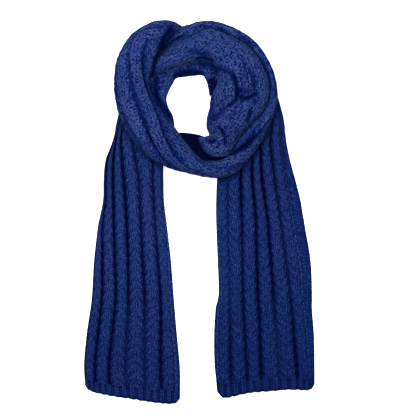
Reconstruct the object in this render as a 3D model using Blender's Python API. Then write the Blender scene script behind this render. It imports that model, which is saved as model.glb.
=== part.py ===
"""A cable-knit scarf, wound once into a ring about a neck hole and laid flat, with both tails hanging down from the ring.

Sizes and table entries are in millimetres. X runs to the right, Y from the hems towards the ring, and Z up from the
surface that the scarf lies on. Each stretch of cloth that shows is a wall of its own, made of sections: an arch from its
outer edge over a crown to its inner edge. The cables are raised in the arch's outer points, over a plain inside.
"""

import functools
import math
from collections import namedtuple

import bmesh
import bpy
from mathutils import Vector
from mathutils.bvhtree import BVHTree

MM = 0.001
CENTRING = Vector((-0.5, 0.85, 0.0))  # sets the scarf over the origin

# The cloth.
WALL = 4.0  # thickness in the valley between two cables
CABLE_RISE = 3.5  # how far a cable stands out of the cloth
BUNCHED_RISE = 6.0  # the same in the ring, where the cloth is bunched and its valleys close up
BUNCHED_SHARE = 0.34  # and at most this share of a cable's width there
CABLE_REPEAT = 22.0  # length of one crossing of a cable
CROSSING_SHARE = 0.28  # how much lower a cable is between two crossings
RIDGE_POWER = 0.75  # below 1, cables are round on top with narrow valleys between them
RIB_DEPTH = 27.0  # width of the rib border at each hem
RIB_COUNT = 16
RIB_RISE = 2.6
RIB_SCALLOP = 1.6  # how far a rib's end stands out below the hem
SEAM = 0.3  # gap where two pieces meet end to end

# The ring.
NECK_CENTRE = Vector((-22.0, 214.0))
FOLD_GAP = 0.3  # half of the gap between two stretches that meet in a fold
ARCH_POWER = 0.82  # below 1, a section's crown is flatter and its sides are steeper than an ellipse's
PULL_SHARE = 0.32  # the inside is pulled in at most this share of a section's width
CLEARANCE = 0.8  # between a layer and what lies on it
REACH = 6.0  # how far around a point the layer above is felt for
RAY_START = -50.0
CORE_REACH = 17.0  # the same for the hidden layers, which are modelled more coarsely

# Fineness of the meshes.
CABLE_COLUMNS = 4
FRONT_SECTIONS = 40
OUTER_SECTIONS = 24
INNER_SECTIONS = 44
UNDER_SECTIONS = 20
BAND_COLUMNS = 24
OUTER_COLUMNS = 14
UNDER_COLUMNS = 10
INSIDE_COLUMNS = 7
INSIDE_SPREAD = 8.0  # how much wider a crease is on the plain inside

YARN_BLUE = (0.022, 0.036, 0.150, 1.0)
LAYER_BLUE = (0.012, 0.020, 0.090, 1.0)
YARN_ROUGHNESS = 0.95

# The front band and the outer turn are one run of cloth. A row is a section across it, from the start of the lump at the
# upper left, down the left side, across the bottom, up the right side and over the top, until it goes under the lump.
BandSection = namedtuple(
    "BandSection", "outer_x outer_y inner_x inner_y outer_foot inner_foot crown cables"
)
BAND = [
    BandSection(-34, 371, -37, 365, 19, 21, 27, 2.0),
    BandSection(-58, 382, -51, 356, 14, 27, 42, 2.4),
    BandSection(-88, 381, -64, 341, 4, 31, 56, 3.0),
    BandSection(-114, 370, -74, 326, 0, 33, 62, 3.6),
    BandSection(-138, 352, -83, 310, 0, 34, 63, 4.0),
    BandSection(-155, 326, -90, 290, 0, 34, 62, 4.3),
    BandSection(-166, 300, -95, 270, 0, 32, 60, 4.5),
    BandSection(-170, 268, -96, 252, 0, 28, 58, 4.7),
    BandSection(-170, 240, -90, 230, 5, 24, 56, 4.9),
    BandSection(-165, 210, -78, 210, 10, 22, 54, 5.0),
    BandSection(-151, 172, -60, 186, 11, 20, 52, 5.0),
    BandSection(-132, 142, -43, 162, 11, 18, 50, 5.0),
    BandSection(-102, 112, -27, 140, 11, 16, 47, 4.8),
    BandSection(-68, 91, -11, 122, 8, 14, 44, 4.4),
    BandSection(-30, 79, 7, 104, 2, 12, 40, 4.0),
    BandSection(6, 71, 26, 102, 0, 11, 38, 3.5),
    BandSection(38, 68, 44, 104, 7, 11, 38, 3.2),
    BandSection(66, 74, 62, 116, 10, 12, 40, 3.0),
    BandSection(88, 91, 78, 140, 11, 12, 42, 2.8),
    BandSection(109, 117, 96, 164, 11, 13, 42, 2.6),
    BandSection(129, 148, 116, 184, 11, 14, 40, 2.3),
    BandSection(145, 182, 132, 204, 11, 14, 36, 2.0),
    BandSection(155, 212, 140, 226, 10, 14, 32, 1.6),
    BandSection(157, 236, 142, 244, 9, 14, 30, 1.4),
    BandSection(154, 262, 139, 264, 5, 14, 29, 1.4),
    BandSection(146, 289, 130, 286, 1, 14, 28, 1.5),
    BandSection(130, 319, 114, 314, 0, 14, 28, 1.5),
    BandSection(109, 344, 94, 334, 0, 14, 28, 1.6),
    BandSection(83, 362, 70, 348, 0, 14, 27, 1.7),
    BandSection(54, 375, 46, 358, 0, 13, 27, 1.8),
    BandSection(26, 382, 22, 366, 0, 12, 26, 1.8),
    BandSection(0, 381, 4, 360, 0, 12, 24, 1.9),
    BandSection(-20, 375, -16, 350, 0, 12, 20, 2.0),
    BandSection(-40, 369, -36, 341, 4, 12, 17, 2.1),
    BandSection(-62, 360, -56, 330, 8, 12, 17, 2.2),
    BandSection(-82, 342, -76, 314, 9, 12, 17, 2.2),
    BandSection(-98, 318, -94, 300, 9, 10, 16, 2.2),
]
BAND_SPLIT = 22.6  # row where the front band hands over to the outer turn
SPLIT_GAP = 0.02  # share of a row between them
BAND_END = 35.3  # row where the outer turn ends, well under the lump
RING_CLOSES = 32.5  # row where the band's outline comes round to its start
OUTLINE_STEPS = 100

# The inner turn, from under the lump over the top and down the right side to the fold under the front band. Its outer
# edge is the band's inner edge, at the band row in the first column.
TurnSection = namedtuple(
    "TurnSection", "band_row inner_x inner_y outer_foot inner_foot crown cables"
)
INNER_TURN = [
    TurnSection(36.0, -108, 268, 12, 18, 26, 5.0),
    TurnSection(35.0, -90, 274, 14, 20, 34, 5.0),
    TurnSection(34.0, -72, 280, 15, 22, 41, 5.0),
    TurnSection(33.0, -52, 287, 16, 23, 46, 5.0),
    TurnSection(32.0, -32, 294, 16, 24, 49, 5.0),
    TurnSection(31.0, -12, 301, 16, 24, 50, 5.2),
    TurnSection(30.0, 6, 306, 16, 24, 50, 5.4),
    TurnSection(29.0, 20, 303, 16, 24, 50, 5.6),
    TurnSection(28.0, 30, 294, 16, 24, 50, 5.8),
    TurnSection(27.0, 37, 282, 16, 22, 51, 6.0),
    TurnSection(26.0, 40, 268, 16, 21, 52, 6.0),
    TurnSection(25.0, 35, 252, 16, 20, 52, 6.0),
    TurnSection(24.2, 26, 236, 16, 16, 52, 6.0),
    TurnSection(23.4, 22, 222, 16, 6, 51, 6.0),
    TurnSection(22.6, 21, 210, 15, 0, 50, 6.0),
    TurnSection(21.8, 18, 198, 14, 0, 49, 6.0),
    TurnSection(21.0, 15, 184, 14, 0, 47, 5.8),
    TurnSection(20.2, 15, 168, 14, 0, 44, 5.6),
    TurnSection(19.5, 20, 154, 13, 3, 40, 5.2),
    TurnSection(18.9, 10, 150, 13, 6, 37, 5.0),
    TurnSection(18.3, -1, 148, 12, 8, 34, 4.6),
    TurnSection(17.7, 2, 135, 12, 8, 32, 4.0),
    TurnSection(17.1, 10, 121, 12, 8, 30, 3.4),
    TurnSection(16.6, 20, 110, 12, 9, 26, 2.6),
]

# The lower layer that shows round the top and the left side of the neck hole. Its outer edge is tucked under the inner
# turn and the front band.
UnderSection = namedtuple("UnderSection", "outer_x outer_y inner_x inner_y foot crown")
UNDER_TURN = [
    UnderSection(46, 256, 21, 230, 6, 9),
    UnderSection(50, 276, 18, 248, 7, 12),
    UnderSection(40, 296, 14, 263, 10, 15),
    UnderSection(16, 312, 6, 273, 12, 17),
    UnderSection(-8, 310, -12, 272, 13, 18),
    UnderSection(-34, 302, -30, 270, 13, 18),
    UnderSection(-60, 292, -46, 267, 13, 18),
    UnderSection(-86, 284, -52, 257, 13, 18),
    UnderSection(-104, 262, -60, 242, 13, 18),
    UnderSection(-102, 236, -65, 226, 12, 17),
    UnderSection(-90, 212, -61, 209, 11, 16),
    UnderSection(-72, 190, -52, 192, 9, 14),
    UnderSection(-57, 168, -49, 172, 7, 12),
]

# Folds that run across the cables: a soft trough along three points.
Crease = namedtuple("Crease", "x1 y1 x2 y2 x3 y3 depth width")
BAND_CREASES = [
    Crease(-118, 336, -112, 288, -98, 248, 4, 5),
    Crease(132, 170, 106, 138, 74, 124, 7, 6),
]
TURN_CREASES = [
    Crease(66, 278, 80, 246, 58, 210, 11, 10),
    Crease(82, 228, 100, 227, 116, 234, 8, 9),
    Crease(101, 204, 98, 192, 88, 178, 6, 7),
    Crease(42, 162, 52, 150, 54, 128, 7, 7),
    Crease(8, 306, 28, 292, 50, 276, 7, 10),
    Crease(102, 290, 110, 264, 112, 242, 5, 8),
]

# A tail. A row gives where its edges and the valleys between its cables lie at one height, and how far the cables are
# pushed up into pleats there.
LeftRow = namedtuple(
    "LeftRow", "y pleat left valley_1 valley_2 valley_3 valley_4 valley_5 right"
)
LEFT_TAIL = [
    LeftRow(-384, 0, -228, -206, -178, -143, -106, -74, -38),
    LeftRow(-316, 0, -230, -208, -180, -146, -108, -76, -38),
    LeftRow(-246, 0, -225, -202, -174, -144, -108, -76, -44),
    LeftRow(-176, 0, -215, -194, -166, -141, -108, -76, -50),
    LeftRow(-96, 0, -210, -193, -168, -142, -112, -82, -56),
    LeftRow(-26, 2, -202, -193, -170, -144, -116, -87, -64),
    LeftRow(24, 5, -192, -187, -171, -147, -118, -90, -70),
    LeftRow(64, 7, -191, -186, -172, -150, -120, -92, -71),
    LeftRow(104, 9, -187, -183, -171, -154, -126, -92, -73),
    LeftRow(144, 10, -172, -170, -166, -156, -134, -106, -82),
    LeftRow(174, 10, -166, -164, -160, -152, -136, -112, -92),
    LeftRow(214, 10, -158, -156, -150, -143, -132, -118, -104),
]
RightRow = namedtuple(
    "RightRow",
    "y pleat left valley_1 valley_2 valley_3 valley_4 valley_5 selvedge right",
)
RIGHT_TAIL = [
    RightRow(-372, 0, 36, 66, 98, 126, 162, 198, 223, 231),
    RightRow(-316, 0, 31, 64, 96, 124, 160, 196, 223, 231),
    RightRow(-246, 0, 30, 63, 92, 122, 155, 190, 218, 230),
    RightRow(-192, 0, 33, 62, 89, 120, 151, 186, 212, 226),
    RightRow(-166, 0, 39, 62, 88, 118, 149, 183, 209, 226),
    RightRow(-96, 0, 37, 60, 87, 116, 144, 174, 203, 223),
    RightRow(-16, 2, 34, 58, 86, 114, 138, 164, 190, 210),
    RightRow(24, 5, 34, 58, 85, 111, 132, 158, 183, 203),
    RightRow(64, 8, 36, 58, 84, 107, 126, 152, 176, 193),
    RightRow(104, 10, 42, 60, 84, 106, 124, 147, 171, 182),
    RightRow(144, 10, 50, 64, 84, 104, 122, 143, 165, 174),
    RightRow(184, 7, 56, 68, 86, 106, 126, 147, 162, 170),
    RightRow(224, 6, 62, 74, 92, 112, 132, 147, 154, 160),
    RightRow(250, 4, 66, 78, 96, 116, 132, 143, 147, 149),
]
Point = namedtuple("Point", "x y")
LEFT_HEM = [
    Point(-230, -346),
    Point(-221, -356),
    Point(-206, -362),
    Point(-178, -368),
    Point(-144, -373),
    Point(-106, -379),
    Point(-74, -383),
    Point(-56, -384),
    Point(-46, -382),
    Point(-38, -374),
]
RIGHT_HEM = [
    Point(31, -350),
    Point(36, -359),
    Point(42, -367),
    Point(50, -372),
    Point(60, -371),
    Point(82, -366),
    Point(102, -362),
    Point(126, -360),
    Point(152, -358),
    Point(172, -356),
    Point(198, -356),
    Point(214, -357),
    Point(225, -354),
    Point(231, -345),
]
Tail = namedtuple("Tail", "side rows hem level_top")
# level_top is the height up to which a tail's rows of stitches lie level. Above it they fan out to follow the ring.
TAILS = {
    "left": Tail("left", LEFT_TAIL, LEFT_HEM, 84.0),
    "right": Tail("right", RIGHT_TAIL, RIGHT_HEM, 56.0),
}
TUCK = 9.0  # how far a tail reaches in under the ring
TUCK_LIMIT = 40.0  # a tail ends at the latest this far above the neck centre
HEM_FADE = 130.0  # height over which the rows of stitches turn from the hem's curve to level
HEM_POWER = 1.5
TAIL_LEVEL_ROWS_PER_REPEAT = 2
TAIL_FAN_ROWS = 7

# The hidden layers, as one ring between the neck hole and the outside of the ring.
HOLE = [
    Point(-44, 267),
    Point(2, 273),
    Point(14, 266),
    Point(18, 240),
    Point(21, 212),
    Point(15, 184),
    Point(15, 166),
    Point(24, 150),
    Point(-8, 154),
    Point(-42, 159),
    Point(-49, 174),
    Point(-52, 192),
    Point(-65, 224),
    Point(-54, 252),
]
CoreRow = namedtuple("CoreRow", "angle hole_inset rim_inset height")
CORE = [
    CoreRow(0, 16, 14, 28),
    CoreRow(20, 16, 13, 29),
    CoreRow(30, 16, 7, 30),
    CoreRow(68, 15, 7, 31),
    CoreRow(82, 15, 14, 31),
    CoreRow(120, 14, 15, 32),
    CoreRow(180, 14, 14, 36),
    CoreRow(215, 13, 14, 34),
    CoreRow(240, 12, 14, 26),
    CoreRow(250, 0, 14, 14),
    CoreRow(260, -3, 14, 12),
    CoreRow(284, -3, 14, 12),
    CoreRow(298, 0, 14, 14),
    CoreRow(306, 20, 14, 18),
    CoreRow(330, 18, 14, 28),
    CoreRow(360, 16, 14, 28),
]
CORE_STEPS = 40
CORE_COLUMNS = 7
CORE_LAYERS = 3
CORE_SHOULDER = 0.6  # height at its edges, as a share of the height in its middle
CORE_LEAST = 2.5  # least height
CORE_LIP = 3.0  # how far the top keeps in from the edge
LIP_OUT = 0.6  # how far in from the edge a layer's fold lies
LIP_IN = 2.4  # and the gap between two layers


def spline(rows, place):
    """The row at a place between rows, on a smooth curve through all of them."""
    place = min(max(place, 0.0), len(rows) - 1.0)
    first = min(int(place), len(rows) - 2)
    t = place - first
    before = rows[max(first - 1, 0)]
    after = rows[min(first + 2, len(rows) - 1)]
    values = [
        0.5 * (2 * b + t * (c - a) + t * t * (2 * a - 5 * b + 4 * c - d) + t**3 * (3 * b - a - 3 * c + d))
        for a, b, c, d in zip(before, rows[first], rows[first + 1], after)
    ]
    return type(rows[0])(*values)


def place_of(rows, column, value):
    """The place between rows at which a rising column takes a value."""
    for i in range(len(rows) - 1):
        low = getattr(rows[i], column)
        high = getattr(rows[i + 1], column)
        if value <= high:
            return i + max(0.0, value - low) / (high - low)
    return len(rows) - 1.0


def ridge(turns):
    """A row of rounded ridges, 0 in each valley and 1 on each crest."""
    return abs(math.sin(math.pi * turns)) ** RIDGE_POWER


def crease_depth(creases, x, y, spread=0.0):
    """How deep the creases press the cloth in at a point. The spread makes each of them wider."""
    total = 0.0
    here = Vector((x, y))
    for crease in creases:
        ends = [Vector((crease.x1, crease.y1)), Vector((crease.x2, crease.y2)), Vector((crease.x3, crease.y3))]
        nearest = min(distance_to_segment(here, a, b) for a, b in zip(ends, ends[1:]))
        total = max(total, crease.depth * math.exp(-((nearest / (crease.width + spread)) ** 2)))
    return total


def distance_to_segment(here, start, end):
    """Distance in plan from a point to a straight stretch."""
    along = end - start
    share = min(max((here - start).dot(along) / along.length_squared, 0.0), 1.0)
    return (here - start - along * share).length


def cable_width(section):
    """Width in plan of one cable in a section of the ring."""
    span = Vector((section.outer_x - section.inner_x, section.outer_y - section.inner_y))
    return span.length / section.cables


def arch_point(section, share, inset):
    """A point of a section's arch: its share of the way from the outer to the inner foot, pulled in by the inset."""
    outer = Vector((section.outer_x, section.outer_y))
    inner = Vector((section.inner_x, section.inner_y))
    across = (inner - outer).normalized()
    width = (inner - outer).length
    pull = min(inset, PULL_SHARE * width)
    outer += across * (pull + FOLD_GAP)
    inner -= across * (pull + FOLD_GAP)
    cosine = math.cos(math.pi * share)
    plan = 0.5 - 0.5 * math.copysign(abs(cosine) ** ARCH_POWER, cosine)
    height = max(0.0, math.sin(math.pi * share)) ** ARCH_POWER
    foot = section.outer_foot + (section.inner_foot - section.outer_foot) * plan
    crown = max(section.crown - pull, foot + 1.0)
    x, y = outer.lerp(inner, plan)
    return Vector((x, y, foot + (crown - foot) * height))


def normals_of(grid):
    """Unit normals of a grid of points, pointing out of the arch."""
    normals = []
    for i, row in enumerate(grid):
        ahead = grid[min(i + 1, len(grid) - 1)]
        behind = grid[max(i - 1, 0)]
        line = []
        for j in range(len(row)):
            along = ahead[j] - behind[j]
            across = row[min(j + 1, len(row) - 1)] - row[max(j - 1, 0)]
            normal = across.cross(along)
            line.append(normal.normalized() if normal.length > 1e-9 else Vector((0, 0, 1)))
        normals.append(line)
    middle = len(grid) // 2
    if normals[middle][len(grid[0]) // 2].z < 0:
        normals = [[-normal for normal in line] for line in normals]
    return normals


def edge_fade(share):
    """1 along the middle of a stretch and 0 at both its edges."""
    return math.sqrt(max(0.0, math.sin(math.pi * share))) if 0.0 < share < 1.0 else 0.0


def arch_wall(sections, columns, creases):
    """The outer and the inner grid of a stretch of the ring: cables outside, plain inside."""
    smooth = [[arch_point(s, j / columns, 0.0) for j in range(columns + 1)] for s in sections]
    outside = []
    for section, row, normals in zip(sections, smooth, normals_of(smooth)):
        line = []
        for j, (point, normal) in enumerate(zip(row, normals)):
            share = j / columns
            fade = edge_fade(share)
            rise = min(BUNCHED_RISE, BUNCHED_SHARE * cable_width(section))
            valley = rise * (1.0 - ridge(section.cables * share)) * fade
            moved = point - normal * valley
            moved.z = max(0.0, moved.z - crease_depth(creases, moved.x, moved.y) * fade)
            line.append(moved)
        outside.append(line)
    inside = []
    for section in sections:
        line = []
        for j in range(INSIDE_COLUMNS + 1):
            share = j / INSIDE_COLUMNS
            point = arch_point(section, share, WALL + BUNCHED_RISE)
            fade = edge_fade(share)
            foot = min(section.outer_foot, section.inner_foot)
            lowered = point.z - crease_depth(creases, point.x, point.y, INSIDE_SPREAD) * fade
            point.z = max(0.0, lowered, foot) if fade > 0.0 else max(0.0, point.z)
            line.append(point)
        inside.append(line)
    return outside, inside


def zip_strip(first, second):
    """Triangles between two lines of point numbers that run the same way, whatever their counts."""
    faces = []
    i = j = 0
    while i < len(first) - 1 or j < len(second) - 1:
        next_first = (i + 1) / (len(first) - 1) if i < len(first) - 1 else 2.0
        next_second = (j + 1) / (len(second) - 1) if j < len(second) - 1 else 2.0
        if next_first <= next_second:
            faces.append((first[i], first[i + 1], second[j]))
            i += 1
        else:
            faces.append((first[i], second[j + 1], second[j]))
            j += 1
    return faces


def wall_solid(upper, lower):
    """Points and faces of the closed wall between an upper and a lower grid, joined all round their edges."""
    points = []
    faces = []
    numbers = []
    for grid in (upper, lower):
        start = len(points)
        columns = len(grid[0])
        points += [point for row in grid for point in row]
        numbers.append([[start + i * columns + j for j in range(columns)] for i in range(len(grid))])
    for grid in numbers:
        for near, far in zip(grid, grid[1:]):
            faces += [(near[j], near[j + 1], far[j + 1], far[j]) for j in range(len(near) - 1)]
    above, below = numbers
    faces += zip_strip(above[0], below[0])
    faces += zip_strip(above[-1], below[-1])
    faces += zip_strip([row[0] for row in above], [row[0] for row in below])
    faces += zip_strip([row[-1] for row in above], [row[-1] for row in below])
    return points, faces


def make_node(name, points, faces, colour):
    """One named object with its own material, from points in millimetres."""
    mesh = bpy.data.meshes.new(name)
    mesh.from_pydata([(point + CENTRING) * MM for point in points], [], faces)
    model = bmesh.new()
    model.from_mesh(mesh)
    bmesh.ops.recalc_face_normals(model, faces=model.faces)
    model.to_mesh(mesh)
    model.free()
    material = bpy.data.materials.new(name)
    material.use_nodes = True
    shader = material.node_tree.nodes["Principled BSDF"]
    shader.inputs["Base Color"].default_value = colour
    shader.inputs["Roughness"].default_value = YARN_ROUGHNESS
    mesh.materials.append(material)
    mesh.shade_smooth()
    scarf = bpy.data.objects.new(name, mesh)
    bpy.context.scene.collection.objects.link(scarf)
    return scarf


def tree_of(points, faces):
    """A search tree over a solid, to find what lies above a point."""
    return BVHTree.FromPolygons(points, faces)


def lowest_above(trees, x, y, reach=REACH):
    """The lowest underside over a point and just around it, or None in the open."""
    found = None
    around = [(0.0, 0.0)]
    around += [
        (radius * math.cos(turn * math.pi / 4), radius * math.sin(turn * math.pi / 4))
        for turn in range(8)
        for radius in (0.5 * reach, reach)
    ]
    for dx, dy in around:
        for tree in trees:
            hit = tree.ray_cast(Vector((x + dx, y + dy, RAY_START)), Vector((0, 0, 1)))[0]
            if hit is not None and (found is None or hit.z < found):
                found = hit.z
    return found


def press_under(grid, trees, gap):
    """Presses a grid of points down to lie the gap below what is over it, but no lower than the surface."""
    for row in grid:
        for point in row:
            limit = lowest_above(trees, point.x, point.y)
            if limit is not None:
                point.z = max(0.0, min(point.z, limit - gap))


def band_sections(first, last, steps):
    """Sections of the band from one row's place to another's."""
    return [spline(BAND, first + (last - first) * i / steps) for i in range(steps + 1)]


def turn_sections(steps):
    """Sections of the inner turn, each with its outer edge on the band's inner edge."""
    sections = []
    for i in range(steps + 1):
        row = spline(INNER_TURN, (len(INNER_TURN) - 1) * i / steps)
        edge = spline(BAND, row.band_row)
        sections.append(
            BandSection(
                edge.inner_x,
                edge.inner_y,
                row.inner_x,
                row.inner_y,
                row.outer_foot,
                row.inner_foot,
                row.crown,
                row.cables,
            )
        )
    return sections


def under_sections(steps):
    """Sections of the under turn, which stands on the surface at the neck hole and rises from there."""
    sections = []
    for i in range(steps + 1):
        row = spline(UNDER_TURN, (len(UNDER_TURN) - 1) * i / steps)
        sections.append(
            BandSection(
                row.outer_x, row.outer_y, row.inner_x, row.inner_y, row.foot, 0.0, row.crown, 2.0
            )
        )
    return sections


def build_ring():
    """The stretches of the ring. Returns the search trees of those that lie on other cloth."""
    trees = {}
    front = arch_wall(band_sections(0.0, BAND_SPLIT, FRONT_SECTIONS), BAND_COLUMNS, BAND_CREASES)
    outer_start = BAND_SPLIT + SPLIT_GAP
    outer = arch_wall(band_sections(outer_start, BAND_END, OUTER_SECTIONS), OUTER_COLUMNS, [])
    inner = arch_wall(turn_sections(INNER_SECTIONS), BAND_COLUMNS, TURN_CREASES)
    for name, wall in (("front_band", front), ("outer_turn", outer), ("inner_turn", inner)):
        points, faces = wall_solid(*wall)
        trees[name] = tree_of(points, faces)
        make_node(name, points, faces, YARN_BLUE)
    under = arch_wall(under_sections(UNDER_SECTIONS), UNDER_COLUMNS, [])
    above = [trees["front_band"], trees["inner_turn"], trees["outer_turn"]]
    press_under(under[0], above, CLEARANCE)
    press_under(under[1], above, CLEARANCE + WALL)
    points, faces = wall_solid(*under)
    trees["under_turn"] = tree_of(points, faces)
    make_node("under_turn", points, faces, YARN_BLUE)
    return trees


def tail_lines(tail, y):
    """Where a tail's edges and valleys lie at a height, and its pleat there."""
    row = spline(tail.rows, place_of(tail.rows, "y", y))
    return row[2:], max(0.0, row.pleat)


def hem_height(tail, x):
    """Height of the hem's edge below a point of the tail."""
    return spline(tail.hem, place_of(tail.hem, "x", x)).y


@functools.cache
def ring_outline():
    """Points round the ring's outline."""
    return [(s.outer_x, s.outer_y) for s in band_sections(0.0, RING_CLOSES, OUTLINE_STEPS)]


@functools.cache
def tuck_height_at(side, line):
    """How high one line of a tail reaches, to end just inside the ring's outline."""
    tail = TAILS[side]
    y = tail.level_top
    while y < NECK_CENTRE.y + TUCK_LIMIT:
        x = tail_lines(tail, y)[0][line]
        arm = Vector((x, y)) - NECK_CENTRE
        if arm.length < polar_radius(ring_outline(), math.atan2(arm.y, arm.x)) - TUCK:
            break
        y += 1.0
    return y


def tail_point(tail, level, column):
    """Plan position and pleat at a row's level and a place across, counted in lines from the left edge."""
    base = min(level, tail.level_top)
    lines, pleat = tail_lines(tail, base)
    first = min(int(column), len(lines) - 2)
    x = lines[first] + (lines[first + 1] - lines[first]) * (column - first)
    if level <= tail.level_top:
        start = min(point.y for point in tail.hem)
        fade = max(0.0, 1.0 - (level - start) / HEM_FADE) ** HEM_POWER
        return x, level + (hem_height(tail, x) - start) * fade, pleat
    ends = [tuck_height_at(tail.side, line) for line in (first, first + 1)]
    end = ends[0] + (ends[1] - ends[0]) * (column - first)
    y = tail.level_top + (end - tail.level_top) * (level - tail.level_top)
    lines, pleat = tail_lines(tail, y)
    x = lines[first] + (lines[first + 1] - lines[first]) * (column - first)
    return x, y, pleat


def tail_levels(tail, rows_per_repeat, fan_rows):
    """Levels of a tail's rows. Above level_top they count the share of the fan under the ring."""
    start = min(point.y for point in tail.hem) + RIB_DEPTH + 2 * SEAM
    repeats = round((tail.level_top - start) / CABLE_REPEAT)
    count = repeats * rows_per_repeat
    levels = [start + (tail.level_top - start) * i / count for i in range(count + 1)]
    return levels + [tail.level_top + (i + 1) / fan_rows for i in range(fan_rows)]


def cable_count(tail):
    """Cables across a tail; the right tail's last strip is its plain selvedge."""
    return len(tail.rows[0]) - 3 - (1 if hasattr(tail.rows[0], "selvedge") else 0)


def cable_height(tail, column, row):
    """Height of the raised cable at a place across a tail: crests and shoulders stand out in turn along it."""
    strip = int(column)
    if strip >= cable_count(tail):
        return 0.0
    across = column - strip
    middle = 1.0 - abs(2.0 * across - 1.0)
    crossing = 0.5 + 0.5 * math.cos(math.pi * (row + 2.0 * middle))
    return ridge(column) * (1.0 - CROSSING_SHARE + CROSSING_SHARE * crossing)


def build_tail(side, trees):
    """A tail's wall: cables above, flat below where it lies on the surface, hollow under its pleats."""
    tail = TAILS[side]
    cables = cable_count(tail)
    strips = len(tail.rows[0]) - 3
    columns = [i / CABLE_COLUMNS for i in range(cables * CABLE_COLUMNS + 1)]
    columns += [cables + (i + 1) / CABLE_COLUMNS for i in range((strips - cables) * CABLE_COLUMNS)]
    levels = tail_levels(tail, TAIL_LEVEL_ROWS_PER_REPEAT, TAIL_FAN_ROWS)
    upper = []
    for i, level in enumerate(levels):
        line = []
        for column in columns:
            x, y, pleat = tail_point(tail, level, column)
            height = WALL + CABLE_RISE * cable_height(tail, column, i) + pleat * ridge(column)
            line.append(Vector((x, y, height)))
        upper.append(line)
    lower = []
    for i, level in enumerate(levels):
        if i % 2 and i < len(levels) - TAIL_FAN_ROWS:
            continue
        line = []
        for half in range(strips * 2 + 1):
            x, y, pleat = tail_point(tail, level, half / 2)
            line.append(Vector((x, y, pleat * ridge(half / 2))))
        lower.append(line)
    over = [trees["front_band"], trees["outer_turn"]]
    press_under(upper, over, 2 * CLEARANCE)
    press_under(lower, over, 2 * CLEARANCE + WALL)
    make_node(side + "_tail", *wall_solid(upper, lower), YARN_BLUE)


def build_border(side):
    """The rib border below a tail: upright ribs, each ending in a small scallop."""
    tail = TAILS[side]
    start = min(point.y for point in tail.hem)
    strips = len(tail.rows[0]) - 3
    across = [i / (3 * RIB_COUNT) for i in range(3 * RIB_COUNT + 1)]
    upper = []
    for step in range(4):
        line = []
        for share in across:
            x, y, _ = tail_point(tail, start + RIB_DEPTH * step / 3, share * strips)
            rib = ridge(share * RIB_COUNT)
            scallop = RIB_SCALLOP * (1.0 - rib) if step == 0 else 0.0
            line.append(Vector((x, y + scallop, WALL + RIB_RISE * rib)))
        upper.append(line)
    lower = [[Vector((point.x, point.y, 0.0)) for point in row] for row in (upper[0], upper[-1])]
    make_node(side + "_border", *wall_solid(upper, lower), YARN_BLUE)


def polar_radius(outline, angle):
    """How far out an outline lies from the neck centre, in one direction."""
    direction = Vector((math.cos(angle), math.sin(angle)))
    sideways = Vector((-direction.y, direction.x))
    best = None
    for i, point in enumerate(outline):
        start = Vector(point) - NECK_CENTRE
        step = Vector(outline[(i + 1) % len(outline)]) - NECK_CENTRE - start
        slope = step.dot(sideways)
        if abs(slope) < 1e-9:
            continue
        share = -start.dot(sideways) / slope
        out = (start + step * share).dot(direction)
        if 0.0 <= share <= 1.0 and out > 0 and (best is None or out > best):
            best = out
    return best


def build_hidden_folds(trees):
    """The hidden layers: one rounded ring under the stretches, with its edges in layers."""
    closed = HOLE + HOLE[:3]
    hole = [spline(closed, 1 + len(HOLE) * i / OUTLINE_STEPS)[:] for i in range(OUTLINE_STEPS)]
    over = list(trees.values())
    ring = []
    for step in range(CORE_STEPS):
        degrees = 360.0 * step / CORE_STEPS
        row = spline(CORE, place_of(CORE, "angle", degrees))
        direction = Vector((math.cos(math.radians(degrees)), math.sin(math.radians(degrees))))
        near = polar_radius(hole, math.radians(degrees)) + row.hole_inset
        far = polar_radius(ring_outline(), math.radians(degrees)) - row.rim_inset
        top = []
        for j in range(CORE_COLUMNS + 1):
            share = j / CORE_COLUMNS
            x, y = NECK_CENTRE + direction * (near + CORE_LIP + (far - near - 2 * CORE_LIP) * share)
            height = row.height * (CORE_SHOULDER + (1.0 - CORE_SHOULDER) * math.sin(math.pi * share))
            limit = lowest_above(over, x, y, CORE_REACH)
            if limit is not None:
                height = min(height, limit - 2 * CLEARANCE)
            top.append(Vector((x, y, max(height, CORE_LEAST))))
        ring.append(
            layered_edge(near, 1.0, direction, top[0].z)
            + top
            + layered_edge(far, -1.0, direction, top[-1].z)[::-1]
        )
    points = [point for section in ring for point in section]
    size = len(ring[0])
    faces = []
    for step in range(CORE_STEPS):
        near = [step * size + k for k in range(size)]
        far = [((step + 1) % CORE_STEPS) * size + k for k in range(size)]
        faces += [(near[k], near[(k + 1) % size], far[(k + 1) % size], far[k]) for k in range(size)]
    make_node("hidden_folds", points, faces, LAYER_BLUE)


def layered_edge(radius, inward, direction, height):
    """The side of the hidden layers at one edge, from the surface up: a rounded lip for each layer."""
    points = []
    for k in range(2 * CORE_LAYERS):
        inset = LIP_OUT if k % 2 else LIP_IN
        x, y = NECK_CENTRE + direction * (radius + inward * inset)
        points.append(Vector((x, y, height * k / (2 * CORE_LAYERS))))
    return points


def main():
    """Clears the scene and builds every piece of the scarf."""
    for item in list(bpy.data.objects):
        bpy.data.objects.remove(item, do_unlink=True)
    trees = build_ring()
    for side in TAILS:
        build_tail(side, trees)
        build_border(side)
    build_hidden_folds(trees)


main()
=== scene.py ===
"""Dresses the knit scarf: the wound ring and both tails as cable-knit wool, with their folds and stitches.

Sizes and table entries are in millimetres, in the plan of the laid scarf: X to the right, Y from the hems
towards the ring and Z up from the surface that it lies on. Meshes, flat sizes and the studio are in metres.
"""

import logging
import math
from dataclasses import dataclass, replace
from enum import Enum
from functools import cached_property
from typing import ClassVar, NamedTuple, Sequence

import bmesh
import bpy
import numpy as np
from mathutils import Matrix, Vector
from mathutils.bvhtree import BVHTree


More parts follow.
